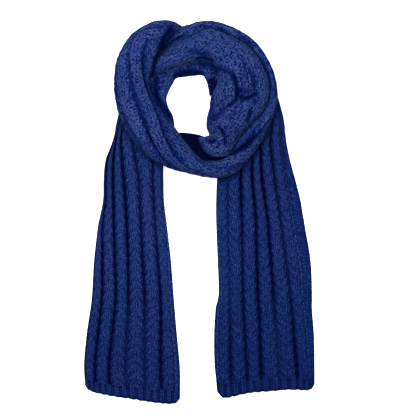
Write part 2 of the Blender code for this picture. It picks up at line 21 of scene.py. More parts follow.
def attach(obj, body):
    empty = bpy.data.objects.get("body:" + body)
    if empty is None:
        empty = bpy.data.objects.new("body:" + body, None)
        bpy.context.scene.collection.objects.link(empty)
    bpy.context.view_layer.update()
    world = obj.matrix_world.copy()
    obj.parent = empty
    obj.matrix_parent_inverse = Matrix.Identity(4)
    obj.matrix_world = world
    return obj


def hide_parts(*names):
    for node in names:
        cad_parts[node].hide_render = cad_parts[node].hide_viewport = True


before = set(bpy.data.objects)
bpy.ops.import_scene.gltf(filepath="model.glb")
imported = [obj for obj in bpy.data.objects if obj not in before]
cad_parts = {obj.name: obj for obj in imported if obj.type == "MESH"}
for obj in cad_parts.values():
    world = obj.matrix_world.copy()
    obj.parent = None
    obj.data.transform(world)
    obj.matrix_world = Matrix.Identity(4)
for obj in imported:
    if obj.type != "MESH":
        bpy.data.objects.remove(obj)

MM = 0.001
TINY = 1e-9
CENTRING = np.array([-0.5, 0.85, 0.0])  # sets the scarf over the origin, as in the frame
NECK_CENTRE = np.array([-22.0, 214.0])
PLAIN_STITCH = 4.3  # length of a stitch where the knit is plain
FLAT_WIDTH = 0.204  # width of the whole panel, in metres
SEED = 11
UP = Vector((0.0, 0.0, 1.0))

log = logging.getLogger("scarf")


# ---- Tables of the laid form ----


class BandSection(NamedTuple):
    """A section across the front band and the outer turn."""

    outer_x: float
    outer_y: float
    inner_x: float
    inner_y: float
    outer_foot: float
    inner_foot: float
    crown: float
    cables: float


BAND = [BandSection(*row) for row in [
    (-34, 371, -37, 365, 19, 21, 27, 2.0),
    (-58, 382, -51, 356, 14, 27, 42, 2.4),
    (-88, 381, -64, 341, 4, 31, 56, 3.0),
    (-114, 370, -74, 326, 0, 33, 62, 3.6),
    (-138, 352, -83, 310, 0, 34, 63, 4.0),
    (-155, 326, -90, 290, 0, 34, 62, 4.3),
    (-166, 300, -95, 270, 0, 32, 60, 4.5),
    (-170, 268, -96, 252, 0, 28, 58, 4.7),
    (-170, 240, -90, 230, 5, 24, 56, 4.9),
    (-165, 210, -78, 210, 10, 22, 54, 5.0),
    (-151, 172, -60, 186, 11, 20, 52, 5.0),
    (-132, 142, -43, 162, 11, 18, 50, 5.0),
    (-102, 112, -27, 140, 11, 16, 47, 4.8),
    (-68, 91, -11, 122, 8, 14, 44, 4.4),
    (-30, 79, 7, 104, 2, 12, 40, 4.0),
    (6, 71, 26, 102, 0, 11, 38, 3.5),
    (38, 68, 44, 104, 7, 11, 38, 3.2),
    (66, 74, 62, 116, 10, 12, 40, 3.0),
    (88, 91, 78, 140, 11, 12, 42, 2.8),
    (109, 117, 96, 164, 11, 13, 42, 2.6),
    (129, 148, 116, 184, 11, 14, 40, 2.3),
    (145, 182, 132, 204, 11, 14, 36, 2.0),
    (155, 212, 140, 226, 10, 14, 32, 1.6),
    (157, 236, 142, 244, 9, 14, 30, 1.4),
    (154, 262, 139, 264, 5, 15, 29, 1.4),
    (146, 289, 130, 286, 1, 18, 28, 1.5),
    (130, 319, 114, 314, 0, 20, 28, 1.5),
    (109, 344, 94, 334, 0, 20, 28, 1.6),
    (83, 362, 70, 348, 0, 20, 27, 1.7),
    (54, 375, 46, 358, 0, 20, 27, 1.8),
    (26, 382, 22, 366, 0, 19, 26, 1.8),
    (0, 381, 4, 360, 0, 17, 24, 1.9),
    (-20, 375, -16, 350, 0, 14, 20, 2.0),
    (-40, 369, -36, 341, 4, 12, 17, 2.1),
    (-62, 360, -56, 330, 8, 12, 17, 2.2),
    (-82, 342, -76, 314, 9, 12, 17, 2.2),
    (-98, 318, -94, 300, 9, 10, 16, 2.2),
]]
BAND_SPLIT = 22.6  # row where the front band hands over to the outer turn
BAND_END = 35.3  # row where the outer turn ends, well under the lump
RING_CLOSES = 32.5  # row where the band's outline comes round to its start


class TurnSection(NamedTuple):
    """A section across the inner turn, whose outer edge is the band's inner edge at the band's row."""

    band_row: float
    inner_x: float
    inner_y: float
    outer_foot: float
    inner_foot: float
    crown: float
    cables: float


INNER_TURN = [TurnSection(*row) for row in [
    (36.0, -108, 268, 12, 18, 26, 5.0),
    (35.0, -90, 274, 14, 20, 34, 5.0),
    (34.0, -72, 280, 15, 22, 41, 5.0),
    (33.0, -52, 287, 16, 23, 46, 5.0),
    (32.0, -32, 294, 17, 24, 49, 5.0),
    (31.0, -12, 301, 19, 24, 50, 5.2),
    (30.0, 6, 306, 21, 24, 50, 5.4),
    (29.0, 20, 303, 22, 24, 50, 5.6),
    (28.0, 30, 294, 22, 24, 50, 5.8),
    (27.0, 37, 282, 22, 22, 51, 6.0),
    (26.0, 40, 268, 21, 21, 52, 6.0),
    (25.0, 35, 252, 18, 20, 52, 6.0),
    (24.2, 26, 236, 16, 16, 52, 6.0),
    (23.4, 22, 222, 16, 6, 51, 6.0),
    (22.6, 21, 210, 15, 0, 50, 6.0),
    (21.8, 18, 198, 14, 0, 49, 6.0),
    (21.0, 15, 184, 14, 0, 47, 5.8),
    (20.2, 15, 168, 14, 0, 44, 5.6),
    (19.5, 20, 154, 13, 3, 40, 5.2),
    (18.9, 10, 150, 13, 6, 37, 5.0),
    (18.3, -1, 148, 12, 8, 34, 4.6),
    (17.7, 2, 135, 12, 8, 32, 4.0),
    (17.1, 10, 121, 12, 8, 30, 3.4),
    (16.6, 20, 110, 12, 9, 26, 2.6),
]]


class UnderSection(NamedTuple):
    """A section across the lower layer that shows round the neck hole."""

    outer_x: float
    outer_y: float
    inner_x: float
    inner_y: float
    foot: float
    crown: float


UNDER_TURN = [UnderSection(*row) for row in [
    (46, 256, 21, 230, 6, 9),
    (50, 276, 18, 248, 7, 12),
    (40, 296, 14, 263, 10, 15),
    (16, 312, 6, 273, 12, 17),
    (-8, 310, -12, 272, 13, 18),
    (-34, 302, -30, 270, 13, 18),
    (-60, 292, -46, 267, 13, 18),
    (-86, 284, -52, 257, 13, 18),
    (-104, 262, -60, 242, 13, 18),
    (-102, 236, -65, 226, 12, 17),
    (-90, 212, -61, 209, 11, 16),
    (-72, 190, -52, 192, 9, 14),
    (-57, 168, -49, 172, 7, 12),
]]


class BandKnit(NamedTuple):
    """Where the valleys between the band's cables lie at one row, as shares of its width, and how deep."""

    row: float
    share_1: float
    share_2: float
    share_3: float
    share_4: float
    share_5: float
    share_6: float
    depth_1: float
    depth_2: float
    depth_3: float
    depth_4: float
    depth_5: float
    depth_6: float


BAND_KNIT = [BandKnit(*row) for row in [
    (0.0, -0.20, 0.45, 0.95, 1.60, 2.40, 3.2, 0.5, 0.5, 0.0, 0.5, 0.5, 0.5),
    (2.0, -0.20, 0.35, 0.80, 1.50, 2.30, 3.1, 0.5, 0.5, 0.1, 0.5, 0.5, 0.5),
    (3.5, -0.35, 0.14, 0.58, 1.40, 2.20, 3.0, 0.5, 0.5, 0.4, 0.5, 0.5, 0.5),
    (5.0, -0.20, 0.26, 0.69, 1.30, 2.10, 2.9, 0.5, 0.6, 0.9, 0.5, 0.5, 0.5),
    (6.0, 0.00, 0.41, 0.80, 1.40, 2.10, 2.9, 0.5, 0.7, 1.0, 0.5, 0.5, 0.5),
    (7.0, 0.06, 0.49, 0.88, 1.50, 2.20, 3.0, 0.5, 0.7, 1.0, 0.5, 0.5, 0.5),
    (8.0, 0.09, 0.53, 0.91, 1.50, 2.20, 3.0, 0.5, 0.7, 0.9, 0.5, 0.5, 0.5),
    (9.0, 0.10, 0.52, 0.89, 1.50, 2.20, 3.0, 0.4, 0.7, 0.8, 0.5, 0.5, 0.5),
    (10.0, 0.12, 0.47, 0.81, 1.35, 2.00, 2.8, 0.4, 0.9, 0.8, 0.5, 0.5, 0.5),
    (11.0, 0.07, 0.40, 0.71, 1.22, 1.90, 2.7, 0.4, 1.0, 0.9, 0.5, 0.5, 0.5),
    (12.0, -0.02, 0.28, 0.61, 1.10, 1.80, 2.6, 0.5, 0.9, 0.9, 0.5, 0.5, 0.5),
    (13.0, -0.20, 0.14, 0.46, 0.98, 1.70, 2.5, 0.5, 0.8, 0.7, 0.4, 0.5, 0.5),
    (14.0, -0.40, 0.00, 0.30, 0.86, 1.55, 2.4, 0.5, 0.6, 0.5, 0.4, 0.5, 0.5),
    (15.0, -0.60, -0.20, 0.16, 0.70, 1.40, 2.2, 0.5, 0.5, 0.4, 0.5, 0.5, 0.5),
    (16.0, -1.00, -0.50, 0.00, 0.52, 1.20, 2.0, 0.5, 0.5, 0.4, 0.5, 0.6, 0.5),
    (17.0, -1.30, -0.80, -0.30, 0.34, 0.98, 1.9, 0.5, 0.5, 0.5, 0.4, 0.9, 0.5),
    (18.0, -1.60, -1.10, -0.60, 0.10, 0.70, 1.8, 0.5, 0.5, 0.5, 0.4, 1.0, 0.5),
    (19.0, -1.90, -1.40, -0.90, -0.20, 0.50, 1.7, 0.5, 0.5, 0.5, 0.5, 1.0, 0.5),
    (20.0, -2.20, -1.70, -1.20, -0.50, 0.37, 1.5, 0.5, 0.5, 0.5, 0.5, 0.8, 0.5),
    (21.0, -2.50, -2.00, -1.50, -0.80, 0.20, 1.3, 0.5, 0.5, 0.5, 0.5, 0.4, 0.5),
    (22.6, -2.80, -2.30, -1.80, -1.10, -0.05, 1.15, 0.5, 0.5, 0.5, 0.5, 0.4, 0.5),
    (26.0, -2.80, -2.30, -1.80, -1.10, -0.10, 1.10, 0.5, 0.5, 0.5, 0.5, 0.5, 0.5),
    (36.0, -2.80, -2.30, -1.80, -1.10, -0.10, 1.10, 0.5, 0.5, 0.5, 0.5, 0.5, 0.5),
]]


class Fold(NamedTuple):
    """A fold through three places in the plan: a ridge below a depth of 0; its tone is painted light above 0
    and painted shade below it.
    """

    x1: float
    y1: float
    x2: float
    y2: float
    x3: float
    y3: float
    depth: float
    width: float
    tone: float


# The folds' tones paint shade into creases and hollows and highlights onto ridges and rims.
FRONT_FOLDS = [Fold(*row) for row in [
    (-50, 368, -66, 349, -80, 320, 4.0, 6.0, -1.0),  # where the lump turns under
    (-78, 324, -91, 296, -98, 262, 2.0, 2.5, -0.8),
    (-136, 328, -134, 292, -130, 262, -0.8, 1.8, 0.6),  # left rim of the lump's back
    (-98, 254, -82, 216, -55, 178, 2.0, 3.5, -0.6),
    (-162, 208, -147, 169, -124, 137, -0.8, 1.8, 0.4),  # outer rim of the garter strip
    (-132, 145, -109, 119, -80, 98, -0.8, 1.8, 0.4),
    (-153, 206, -138, 166, -107, 129, 1.0, 3.0, -0.35),
    (-150, 228, -131, 170, -88, 108, -0.8, 1.8, 0.5),  # its inner rim
    (-64, 198, -44, 158, -5, 110, -0.5, 2.0, 0.35),
    (-100, 376, -135, 318, -118, 226, -1.2, 3.0, 0.3),  # back of the lump
    (-73, 358, -90, 312, -98, 274, -0.6, 2.5, 0.3),
    (0, 76, 40, 72, 78, 82, -0.5, 1.8, 0.4),
    (-106, 110, -86, 98, -62, 90, 1.0, 3.0, -0.4),
    (64, 116, 86, 126, 106, 142, 5.0, 5.0, -0.9),  # deep fold beside the lobe
    (153, 230, 145, 196, 122, 168, -0.6, 1.6, 0.7),
    (149, 192, 144, 176, 138, 160, -0.5, 1.6, 0.45),
]]
OUTER_FOLDS = [Fold(*row) for row in [
    (-50, 366, -66, 348, -82, 318, 4.0, 7.0, -1.0),  # in the lump's shade
    (-28, 353, -54, 340, -78, 320, 2.5, 3.2, -0.9),
    (-34, 370, -8, 376, 28, 372, -0.5, 1.8, 0.35),
    (150, 206, 154, 248, 143, 296, 0.5, 6.0, -0.3),
    (34, 368, 46, 364, 58, 356, 0.6, 4.5, -0.5),
    (78, 351, 96, 341, 110, 325, 0.8, 4.5, -0.55),
    (122, 310, 136, 282, 143, 246, 0.8, 4.5, -0.55),
    (-14, 366, 16, 369, 62, 352, 1.5, 2.8, -0.5),
]]
INNER_FOLDS = [Fold(*row) for row in [
    (-74, 330, -87, 304, -95, 268, 3.0, 4.5, -1.0),  # in the lump's shade
    (-80, 316, -48, 339, 12, 366, -0.8, 2.4, 0.45),  # upper rim
    (-86, 268, -52, 284, -4, 304, -0.8, 3.0, 0.8),  # lip over the hole
    (-26, 320, 2, 316, 26, 302, 3.0, 5.0, -0.4),
    (-6, 304, 12, 306, 30, 299, 4.0, 3.4, -0.95),
    (34, 287, 52, 281, 70, 272, 3.5, 6.0, -0.6),
    (66, 279, 77, 240, 72, 218, 9.0, 4.4, -1.0),  # fold beside the arm
    (72, 222, 66, 215, 55, 210, 6.0, 4.0, -0.9),
    (80, 231, 94, 225, 116, 236, 8.0, 4.5, -0.9),  # cave
    (82, 244, 98, 238, 110, 245, 4.0, 6.0, -0.4),
    (86, 308, 91, 284, 96, 262, 2.5, 4.0, -0.4),
    (98, 289, 108, 262, 111, 238, 4.0, 3.8, -0.6),
    (118, 309, 136, 256, 126, 204, -1.5, 4.0, 0.3),
    (77, 289, 82, 270, 85, 251, -1.5, 4.0, 0.2),
    (46, 266, 34, 244, 25, 219, -1.0, 3.0, 0.15),
    (21, 258, 24, 240, 24, 222, 2.0, 4.0, -0.8),
    (26, 222, 26, 196, 20, 168, 1.0, 5.0, -0.4),
    (58, 210, 40, 195, 23, 180, 4.0, 5.0, -0.6),
    (99, 202, 101, 190, 95, 178, 5.0, 3.4, -0.9),
    (86, 190, 92, 197, 96, 204, -1.2, 2.0, 0.6),
    (62, 194, 71, 172, 75, 151, 1.5, 3.5, -0.35),
    (35, 171, 48, 158, 54, 126, 4.5, 3.2, -0.9),  # crease round the lobe
    (36, 155, 44, 154, 50, 145, -1.0, 2.2, 0.45),
    (19, 142, 26, 139, 33, 144, 5.0, 4.0, -1.0),
    (14, 126, 38, 120, 60, 132, -2.0, 9.0, 0.3),
    (118, 203, 90, 174, 66, 138, -1.0, 3.5, 0.2),
    (0, 135, 9, 119, 30, 107, 2.0, 3.0, -0.7),
]]
UNDER_FOLDS = [Fold(*row) for row in [
    (-52, 268, -20, 280, 10, 274, 2.0, 8.0, -1.0),  # in the lip's shade
    (-2, 292, 24, 292, 44, 276, 2.0, 8.0, -0.7),
    (20, 266, 29, 252, 23, 228, 2.0, 9.0, -1.0),
    (-84, 274, -84, 232, -52, 184, 2.0, 6.5, -1.0),
    (-67, 264, -69, 244, -67, 226, -1.0, 4.0, 0.1),
    (-58, 277, -20, 288, 22, 289, -1.0, 2.4, 0.4),
    (-66, 224, -55, 194, -46, 164, 1.0, 5.0, -0.7),
]]


class LeftRow(NamedTuple):
    """Where the left tail's edges and valleys lie at one height, and how far its cables are pushed up."""

    y: float
    pleat: float
    left: float
    valley_1: float
    valley_2: float
    valley_3: float
    valley_4: float
    valley_5: float
    right: float


LEFT_TAIL = [LeftRow(*row) for row in [
    (-384, 0, -228, -206, -178, -143, -106, -74, -38),
    (-316, 0, -230, -208, -180, -146, -108, -76, -38),
    (-246, 0, -225, -202, -174, -144, -108, -76, -44),
    (-176, 0, -215, -194, -166, -141, -108, -76, -50),
    (-96, 0, -210, -193, -168, -142, -112, -82, -56),
    (-26, 2, -202, -193, -170, -144, -116, -87, -64),
    (24, 5, -192, -187, -171, -147, -118, -90, -70),
    (64, 7, -191, -186, -172, -150, -120, -92, -71),
    (104, 9, -187, -183, -171, -154, -126, -92, -73),
    (144, 10, -172, -170, -166, -156, -134, -106, -82),
    (174, 10, -166, -164, -160, -152, -136, -112, -92),
    (214, 10, -158, -156, -150, -143, -132, -118, -104),
]]


class RightRow(NamedTuple):
    """The same for the right tail, which has its plain selvedge at the right."""

    y: float
    pleat: float
    left: float
    valley_1: float
    valley_2: float
    valley_3: float
    valley_4: float
    valley_5: float
    selvedge: float
    right: float


RIGHT_TAIL = [RightRow(*row) for row in [
    (-372, 0, 36, 66, 98, 126, 162, 198, 223, 231),
    (-316, 0, 31, 64, 96, 124, 160, 196, 223, 231),
    (-246, 0, 30, 63, 92, 122, 155, 190, 218, 230),
    (-192, 0, 33, 62, 89, 120, 151, 186, 212, 226),
    (-166, 0, 39, 62, 88, 118, 149, 183, 209, 226),
    (-96, 0, 37, 60, 87, 116, 144, 174, 203, 223),
    (-16, 2, 34, 58, 86, 114, 138, 164, 190, 210),
    (24, 5, 34, 58, 85, 111, 132, 158, 183, 203),
    (64, 8, 36, 58, 84, 107, 126, 152, 176, 193),
    (104, 10, 42, 60, 84, 106, 124, 147, 171, 182),
    (144, 10, 50, 64, 84, 104, 122, 143, 165, 174),
    (184, 7, 56, 68, 86, 106, 126, 147, 162, 170),
    (224, 6, 62, 74, 92, 112, 132, 147, 154, 160),
    (250, 4, 66, 78, 96, 116, 132, 143, 147, 149),
]]


class ValleyRow(NamedTuple):
    """How deep a tail's five valleys are at one height, from 0 for flat to 1."""

    y: float
    valley_1: float
    valley_2: float
    valley_3: float
    valley_4: float
    valley_5: float


LEFT_DEPTHS = [ValleyRow(*row) for row in [
    (-384, 0.90, 0.90, 0.45, 0.40, 0.85),
    (-300, 1.00, 1.00, 0.50, 0.45, 0.95),
    (-240, 1.00, 1.00, 0.60, 0.50, 1.00),
    (-176, 1.00, 1.00, 0.85, 0.80, 0.95),
    (-96, 1.00, 1.00, 1.00, 0.90, 0.80),
    (-16, 0.70, 1.00, 1.00, 0.75, 0.60),
    (64, 0.70, 1.00, 0.95, 0.50, 0.60),
    (214, 0.70, 0.90, 0.80, 0.60, 0.60),
]]
RIGHT_DEPTHS = [ValleyRow(*row) for row in [
    (-384, 0.80, 0.90, 0.95, 0.35, 0.95),
    (-300, 0.80, 0.85, 1.00, 0.40, 1.00),
    (-240, 0.70, 0.80, 1.00, 0.45, 0.90),
    (-176, 0.35, 0.85, 1.00, 0.80, 0.70),
    (-96, 0.25, 0.75, 1.00, 1.00, 0.60),
    (-16, 0.25, 0.85, 1.00, 1.00, 0.55),
    (64, 0.30, 1.00, 1.00, 1.00, 0.60),
    (250, 0.50, 1.00, 1.00, 1.00, 0.70),
]]


class Point(NamedTuple):
    """A point in the plan."""

    x: float
    y: float


LEFT_HEM = [Point(*row) for row in [
    (-230, -346), (-221, -356), (-206, -362), (-178, -368), (-144, -373), (-106, -379),
    (-74, -383), (-56, -384), (-46, -382), (-38, -374),
]]
RIGHT_HEM = [Point(*row) for row in [
    (31, -350), (36, -359), (42, -367), (50, -372), (60, -371), (82, -366), (102, -362),
    (126, -360), (152, -358), (172, -356), (198, -356), (214, -357), (225, -354), (231, -345),
]]
HOLE = [Point(*row) for row in [
    (-44, 267), (2, 273), (14, 266), (18, 240), (21, 212), (15, 184), (15, 166), (24, 150),
    (-8, 154), (-42, 159), (-49, 174), (-52, 192), (-65, 224), (-54, 252),
]]


class CoreRow(NamedTuple):
    """How far the hidden layers keep in from the hole and the rim, and their height, in one direction."""

    angle: float
    hole_inset: float
    rim_inset: float
    height: float


CORE = [CoreRow(*row) for row in [
    (0, 16, 14, 28),
    (11, 16, 13, 28),
    (20, 16, 8, 29),
    (30, 16, 7, 30),
    (68, 15, 7, 31),
    (82, 15, 14, 31),
    (120, 14, 15, 32),
    (180, 14, 14, 36),
    (215, 13, 14, 34),
    (240, 12, 14, 26),
    (250, 0, 14, 14),
    (260, -3, 14, 12),
    (284, -3, 14, 12),
    (298, 0, 14, 14),
    (306, 20, 14, 18),
    (330, 18, 14, 28),
    (360, 16, 14, 28),
]]


# ---- Curves, noise and meshes ----


@dataclass(frozen=True)
class SmoothTable:
    """Rows of a table, read anywhere on the smooth curves through them."""

    rows: Sequence[NamedTuple]

    @cached_property
    def values(self) -> np.ndarray:
        """The rows as an array."""
        return np.array(self.rows, dtype=float)

    def at(self, places: np.ndarray) -> np.ndarray:
        """Reads the table between its rows.

        Args:
            places: Row numbers with their fractions, in any shape.

        Returns:
            The columns' values there, along one more axis at the end.
        """
        values = self.values
        last = len(values) - 1
        places = np.clip(places, 0.0, last)
        first = np.minimum(places.astype(int), last - 1)
        t = (places - first)[..., None]
        before = values[np.maximum(first - 1, 0)]
        start = values[first]
        end = values[first + 1]
        after = values[np.minimum(first + 2, last)]
        return 0.5 * (
            2 * start
            + t * (end - before)
            + t**2 * (2 * before - 5 * start + 4 * end - after)
            + t**3 * (3 * start - before - 3 * end + after)
        )

    def place(self, column: int, wanted: np.ndarray) -> np.ndarray:
        """Finds where a rising column takes the wanted values.

        Args:
            column: Number of the column.
            wanted: Its values, in any shape.

        Returns:
            The row numbers with their fractions.
        """
        known = self.values[:, column]
        return np.interp(wanted, known, np.arange(len(known)))


def smooth_step(low: float, high: float, x: np.ndarray) -> np.ndarray:
    """Rises softly from 0 at low to 1 at high."""
    t = np.clip((x - low) / (high - low), 0.0, 1.0)
    return t * t * (3.0 - 2.0 * t)


def rising(low: float, x: np.ndarray) -> np.ndarray:
    """Goes from low, where x is 0, to 1, where it is 1."""
    return low + (1.0 - low) * x


def foot_fade(shares: np.ndarray) -> np.ndarray:
    """How free the cloth is to rise across an arch: 1 at the crown and 0 at both feet."""
    return np.sqrt(np.clip(np.sin(math.pi * shares), 0.0, 1.0))[None, :]


def uneven(shape: tuple[int, int], grain: tuple[int, int], seed: int) -> np.ndarray:
    """Soft random unevenness over a grid.

    Args:
        shape: Rows and columns of the grid.
        grain: How many random knots lie along the rows and the columns.
        seed: Seed of the random knots.

    Returns:
        Values from about -1 to 1 on the grid.
    """
    knots = np.random.default_rng(SEED + seed).uniform(-1, 1, (grain[0] + 3, grain[1] + 3))
    rows = np.linspace(0, grain[0], shape[0])
    columns = np.linspace(0, grain[1], shape[1])
    r0 = rows.astype(int)
    c0 = columns.astype(int)
    rt = smooth_step(0, 1, rows - r0)[:, None]
    ct = smooth_step(0, 1, columns - c0)[None, :]
    corner = [knots[np.ix_(r0 + i, c0 + j)] for i in (0, 1) for j in (0, 1)]
    low = corner[0] * (1 - ct) + corner[1] * ct
    high = corner[2] * (1 - ct) + corner[3] * ct
    return low * (1 - rt) + high * rt


class Grain(NamedTuple):
    """Soft random unevenness: how much, its knots along and across, and what it adds to the seed."""

    size: float
    along: int
    across: int
    seed: int

    def over(self, shape: tuple[int, int], seed: int) -> np.ndarray:
        """The unevenness over a grid of this shape."""
        return self.size * uneven(shape, (self.along, self.across), seed + self.seed)

    def by_rows(self, shape: tuple[int, int], seed: int) -> np.ndarray:
        """The same, where along tells how many rows there are to a knot."""
        return self._replace(along=shape[0] // self.along).over(shape, seed)


def grid_normals(points: np.ndarray) -> np.ndarray:
    """Unit normals of a grid of points, on the side that faces up in its middle.

    Args:
        points: The grid, rows by columns by three.

    Returns:
        The normals, in the same shape.
    """
    along = np.gradient(points, axis=0)
    across = np.gradient(points, axis=1)
    normals = np.cross(across, along)
    normals /= np.maximum(np.linalg.norm(normals, axis=2, keepdims=True), TINY)
    middle = normals[points.shape[0] // 2, points.shape[1] // 2]
    return normals if middle[2] > 0 else -normals


@dataclass
class Wall:
    """A closed wall of cloth between a fine grid of outer points and a plainer grid inside."""

    outside: np.ndarray
    inside: np.ndarray
    light: np.ndarray
    yarn: np.ndarray
    inside_light: ClassVar[float] = 0.25

    def mesh(self, name: str) -> bpy.types.Object:
        """Makes the wall an object.

        Args:
            name: Name of the object.

        Returns:
            The new object, at the origin.
        """
        outer = self.outside[..., 0].size
        inner = self.inside[..., 0].size
        out = np.arange(outer).reshape(self.outside.shape[:2])
        back = outer + np.arange(inner).reshape(self.inside.shape[:2])
        faces = []
        for grid in (out, back):
            quads = np.stack([grid[:-1, :-1], grid[:-1, 1:], grid[1:, 1:], grid[1:, :-1]], axis=-1)
            faces += quads.reshape(-1, 4).tolist()
        for edge in (np.s_[0, :], np.s_[-1, :], np.s_[:, 0], np.s_[:, -1]):
            faces += zip_strip(out[edge], back[edge])
        points = np.concatenate([self.outside.reshape(-1, 3), self.inside.reshape(-1, 3)])
        light = np.concatenate([self.light.ravel(), np.full(inner, self.inside_light)])
        plain = self.inside.reshape(-1, 3)[:, :2] / PLAIN_STITCH
        yarn = np.concatenate([self.yarn.reshape(-1, 2), plain])
        return make_mesh(name, points, faces, light, yarn)


def zip_strip(first: np.ndarray, second: np.ndarray) -> list[tuple[int, int, int]]:
    """Fills the gap between two lines of points that run the same way, whatever their counts.

    Args:
        first: Point numbers of one line.
        second: Point numbers of the other.

    Returns:
        The triangles between them, as point numbers.
    """
    faces = []
    i = j = 0
    first_steps = len(first) - 1
    second_steps = len(second) - 1
    while i < first_steps or j < second_steps:
        to_first = (i + 1) / first_steps if i < first_steps else math.inf
        to_second = (j + 1) / second_steps if j < second_steps else math.inf
        if to_first <= to_second:
            faces.append((int(first[i]), int(first[i + 1]), int(second[j])))
            i += 1
        else:
            faces.append((int(first[i]), int(second[j + 1]), int(second[j])))
            j += 1
    return faces


def make_mesh(
    name: str, points: np.ndarray, faces: list[Sequence[int]], light: np.ndarray, yarn: np.ndarray
) -> bpy.types.Object:
    """Makes a closed object that holds the light painted on its points and where its yarn runs.

    Args:
        name: Name of the object.
        points: Its points, in the tables' millimetres.
        faces: Its faces, as point numbers.
        light: How brightly each point is painted for light and shade, from 0 to 1.
        yarn: Each point's place among the strands and the rows of stitches.

    Returns:
        The new object, at the origin.
    """
    mesh = bpy.data.meshes.new(name)
    mesh.from_pydata(((points + CENTRING) * MM).tolist(), [], faces)
    model = bmesh.new()
    model.from_mesh(mesh)
    bmesh.ops.recalc_face_normals(model, faces=model.faces)
    model.to_mesh(mesh)
    model.free()
    mesh.attributes.new("light", "FLOAT", "POINT").data.foreach_set("value", light.astype(np.float32))
    corners = np.empty(len(mesh.loops), dtype=np.int32)
    mesh.loops.foreach_get("vertex_index", corners)
    mesh.uv_layers.new(name="yarn").data.foreach_set("uv", yarn[corners].ravel().astype(np.float32))
    mesh.shade_smooth()
    piece = bpy.data.objects.new(name, mesh)
    bpy.context.scene.collection.objects.link(piece)
    return piece


# ---- The yarn and its stitches ----


class Opens(Enum):
    """Which way the leaves of a cable open."""

    ALONG = 1.0
    BACK = -1.0


class KnitSurface(NamedTuple):
    """What the knit does to the cloth's surface at each point, the light painted on it, and which strand and
    row run there.
    """

    body: np.ndarray
    relief: np.ndarray
    light: np.ndarray
    strand: np.ndarray
    row: np.ndarray


@dataclass(frozen=True)
class CableKnit:
    """Rounded cables of uneven loops, whose rows lean out from the middle of the cable to both sides."""

    repeat: float = 19.0
    lean: float = 0.95
    lean_power: float = 1.05
    throat: float = 0.25
    stitch: float = 5.8
    row_lean: float = 1.3
    leaf_start: float = 0.22
    leaf_fall: float = 0.75
    leaf_light: float = 0.32
    leaf_rise: float = 1.2
    strand_light: float = 0.14
    strand_rise: float = 0.6
    loop_light: float = 0.25
    loop_rise: float = 0.6
    scallop: float = 0.22
    valley_share: float = 1.06
    body_power: float = 3.8
    body_round: float = 0.6
    selvedge_rise: float = 0.45
    mean_light: float = 0.80
    mean_leaf: float = 0.4
    mean_strand: float = 0.65
    mean_loop: float = 0.3
    mean_turn: float = 0.3
    apart: float = 20.0  # strands counted from cable to cable, so that no two share a number
    row_shift: int = 7  # columns between the sway of the strands and that of the rows

    def surface(
        self,
        across: np.ndarray,
        along: np.ndarray,
        opens: Opens,
        cable: np.ndarray,
        width: "np.ndarray | float",
        sway: np.ndarray,
    ) -> KnitSurface:
        """The rounded cable with its leaves and loops.

        Args:
            across: Place across the cable, from -1 to 1.
            along: Length along it, in millimetres.
            opens: Which way its leaves open.
            cable: Number of the cable.
            width: Width of the cable.
            sway: How many strands the loops are out of line.

        Returns:
            The rounded body from 0 to 1, the relief on it in millimetres, the light painted on it from 0 to
            1, and the numbers of the strand and of the row of stitches there.
        """
        run = along * opens.value
        side = np.abs(across)
        outward = self.lean * side**self.lean_power
        phase = run / self.repeat - outward
        turn = phase - np.floor(phase)
        strands = 0.5 * width / self.stitch
        fan = strands * side * (0.5 + self.throat) / (self.throat + 0.5 * turn + 0.5 * outward)
        strand = np.sign(across) * fan + self.apart * cable + sway
        row = run / self.stitch - self.row_lean * side + np.roll(sway, self.row_shift, axis=1)
        leaf = smooth_step(0.0, self.leaf_start, turn) * (1.0 - self.leaf_fall * turn)
        ridge = np.abs(np.cos(math.pi * strand))
        reach = side * (self.valley_share + self.scallop * (turn - self.mean_turn) * side)
        body = (1.0 - np.clip(reach, 0.0, 1.0) ** self.body_power) ** self.body_round
        loops = loop_heights(strand, row)
        relief = self.leaf_rise * leaf + self.strand_rise * ridge + self.loop_rise * loops
        # Painted light and shade following the relief: brighter on leaves, strand ridges and high loops,
        # darker between them.
        light = self.mean_light + self.leaf_light * (leaf - self.mean_leaf)
        light += self.strand_light * (ridge - self.mean_strand) + self.loop_light * (loops - self.mean_loop)
        return KnitSurface(body, relief, light, strand, row)

    def selvedge(self, along: np.ndarray) -> np.ndarray:
        """How far the fine cross ridges of the plain strip along an edge stand out."""
        return self.selvedge_rise * (1.0 + np.cos(2.0 * math.pi * along / PLAIN_STITCH))


TAIL_KNIT = CableKnit()
RING_KNIT = CableKnit(
    throat=0.6,
    leaf_light=0.24,
    leaf_rise=0.8,
    strand_light=0.06,
    strand_rise=0.3,
    loop_light=0.35,
    loop_rise=0.8,
    scallop=0.12,
    body_power=3.6,
)


LEAST_LOOP = 0.15  # height of the flattest loop, as a share of the highest
LOOP_CHANCES = (97, 89)  # strands and rows after which the loops' own heights come again


def loop_heights(strand: np.ndarray, row: np.ndarray) -> np.ndarray:
    """How far uneven loops stand out, each one rounded and of its own height.

    Args:
        strand: Number of the strand at each point, with its fraction.
        row: Number of the row of stitches there, with its fraction.

    Returns:
        The heights, from 0 to 1.
    """
    chances = np.random.default_rng(SEED).uniform(LEAST_LOOP, 1.0, LOOP_CHANCES)
    number = np.floor(strand + 0.5)
    brick = row + 0.5 * (number % 2)
    own = chances[number.astype(int) % chances.shape[0], np.floor(brick).astype(int) % chances.shape[1]]
    across = np.cos(math.pi * (strand - number)) ** 2
    along = np.sin(math.pi * (brick - np.floor(brick))) ** 2
    return own * across**0.5 * along**0.5


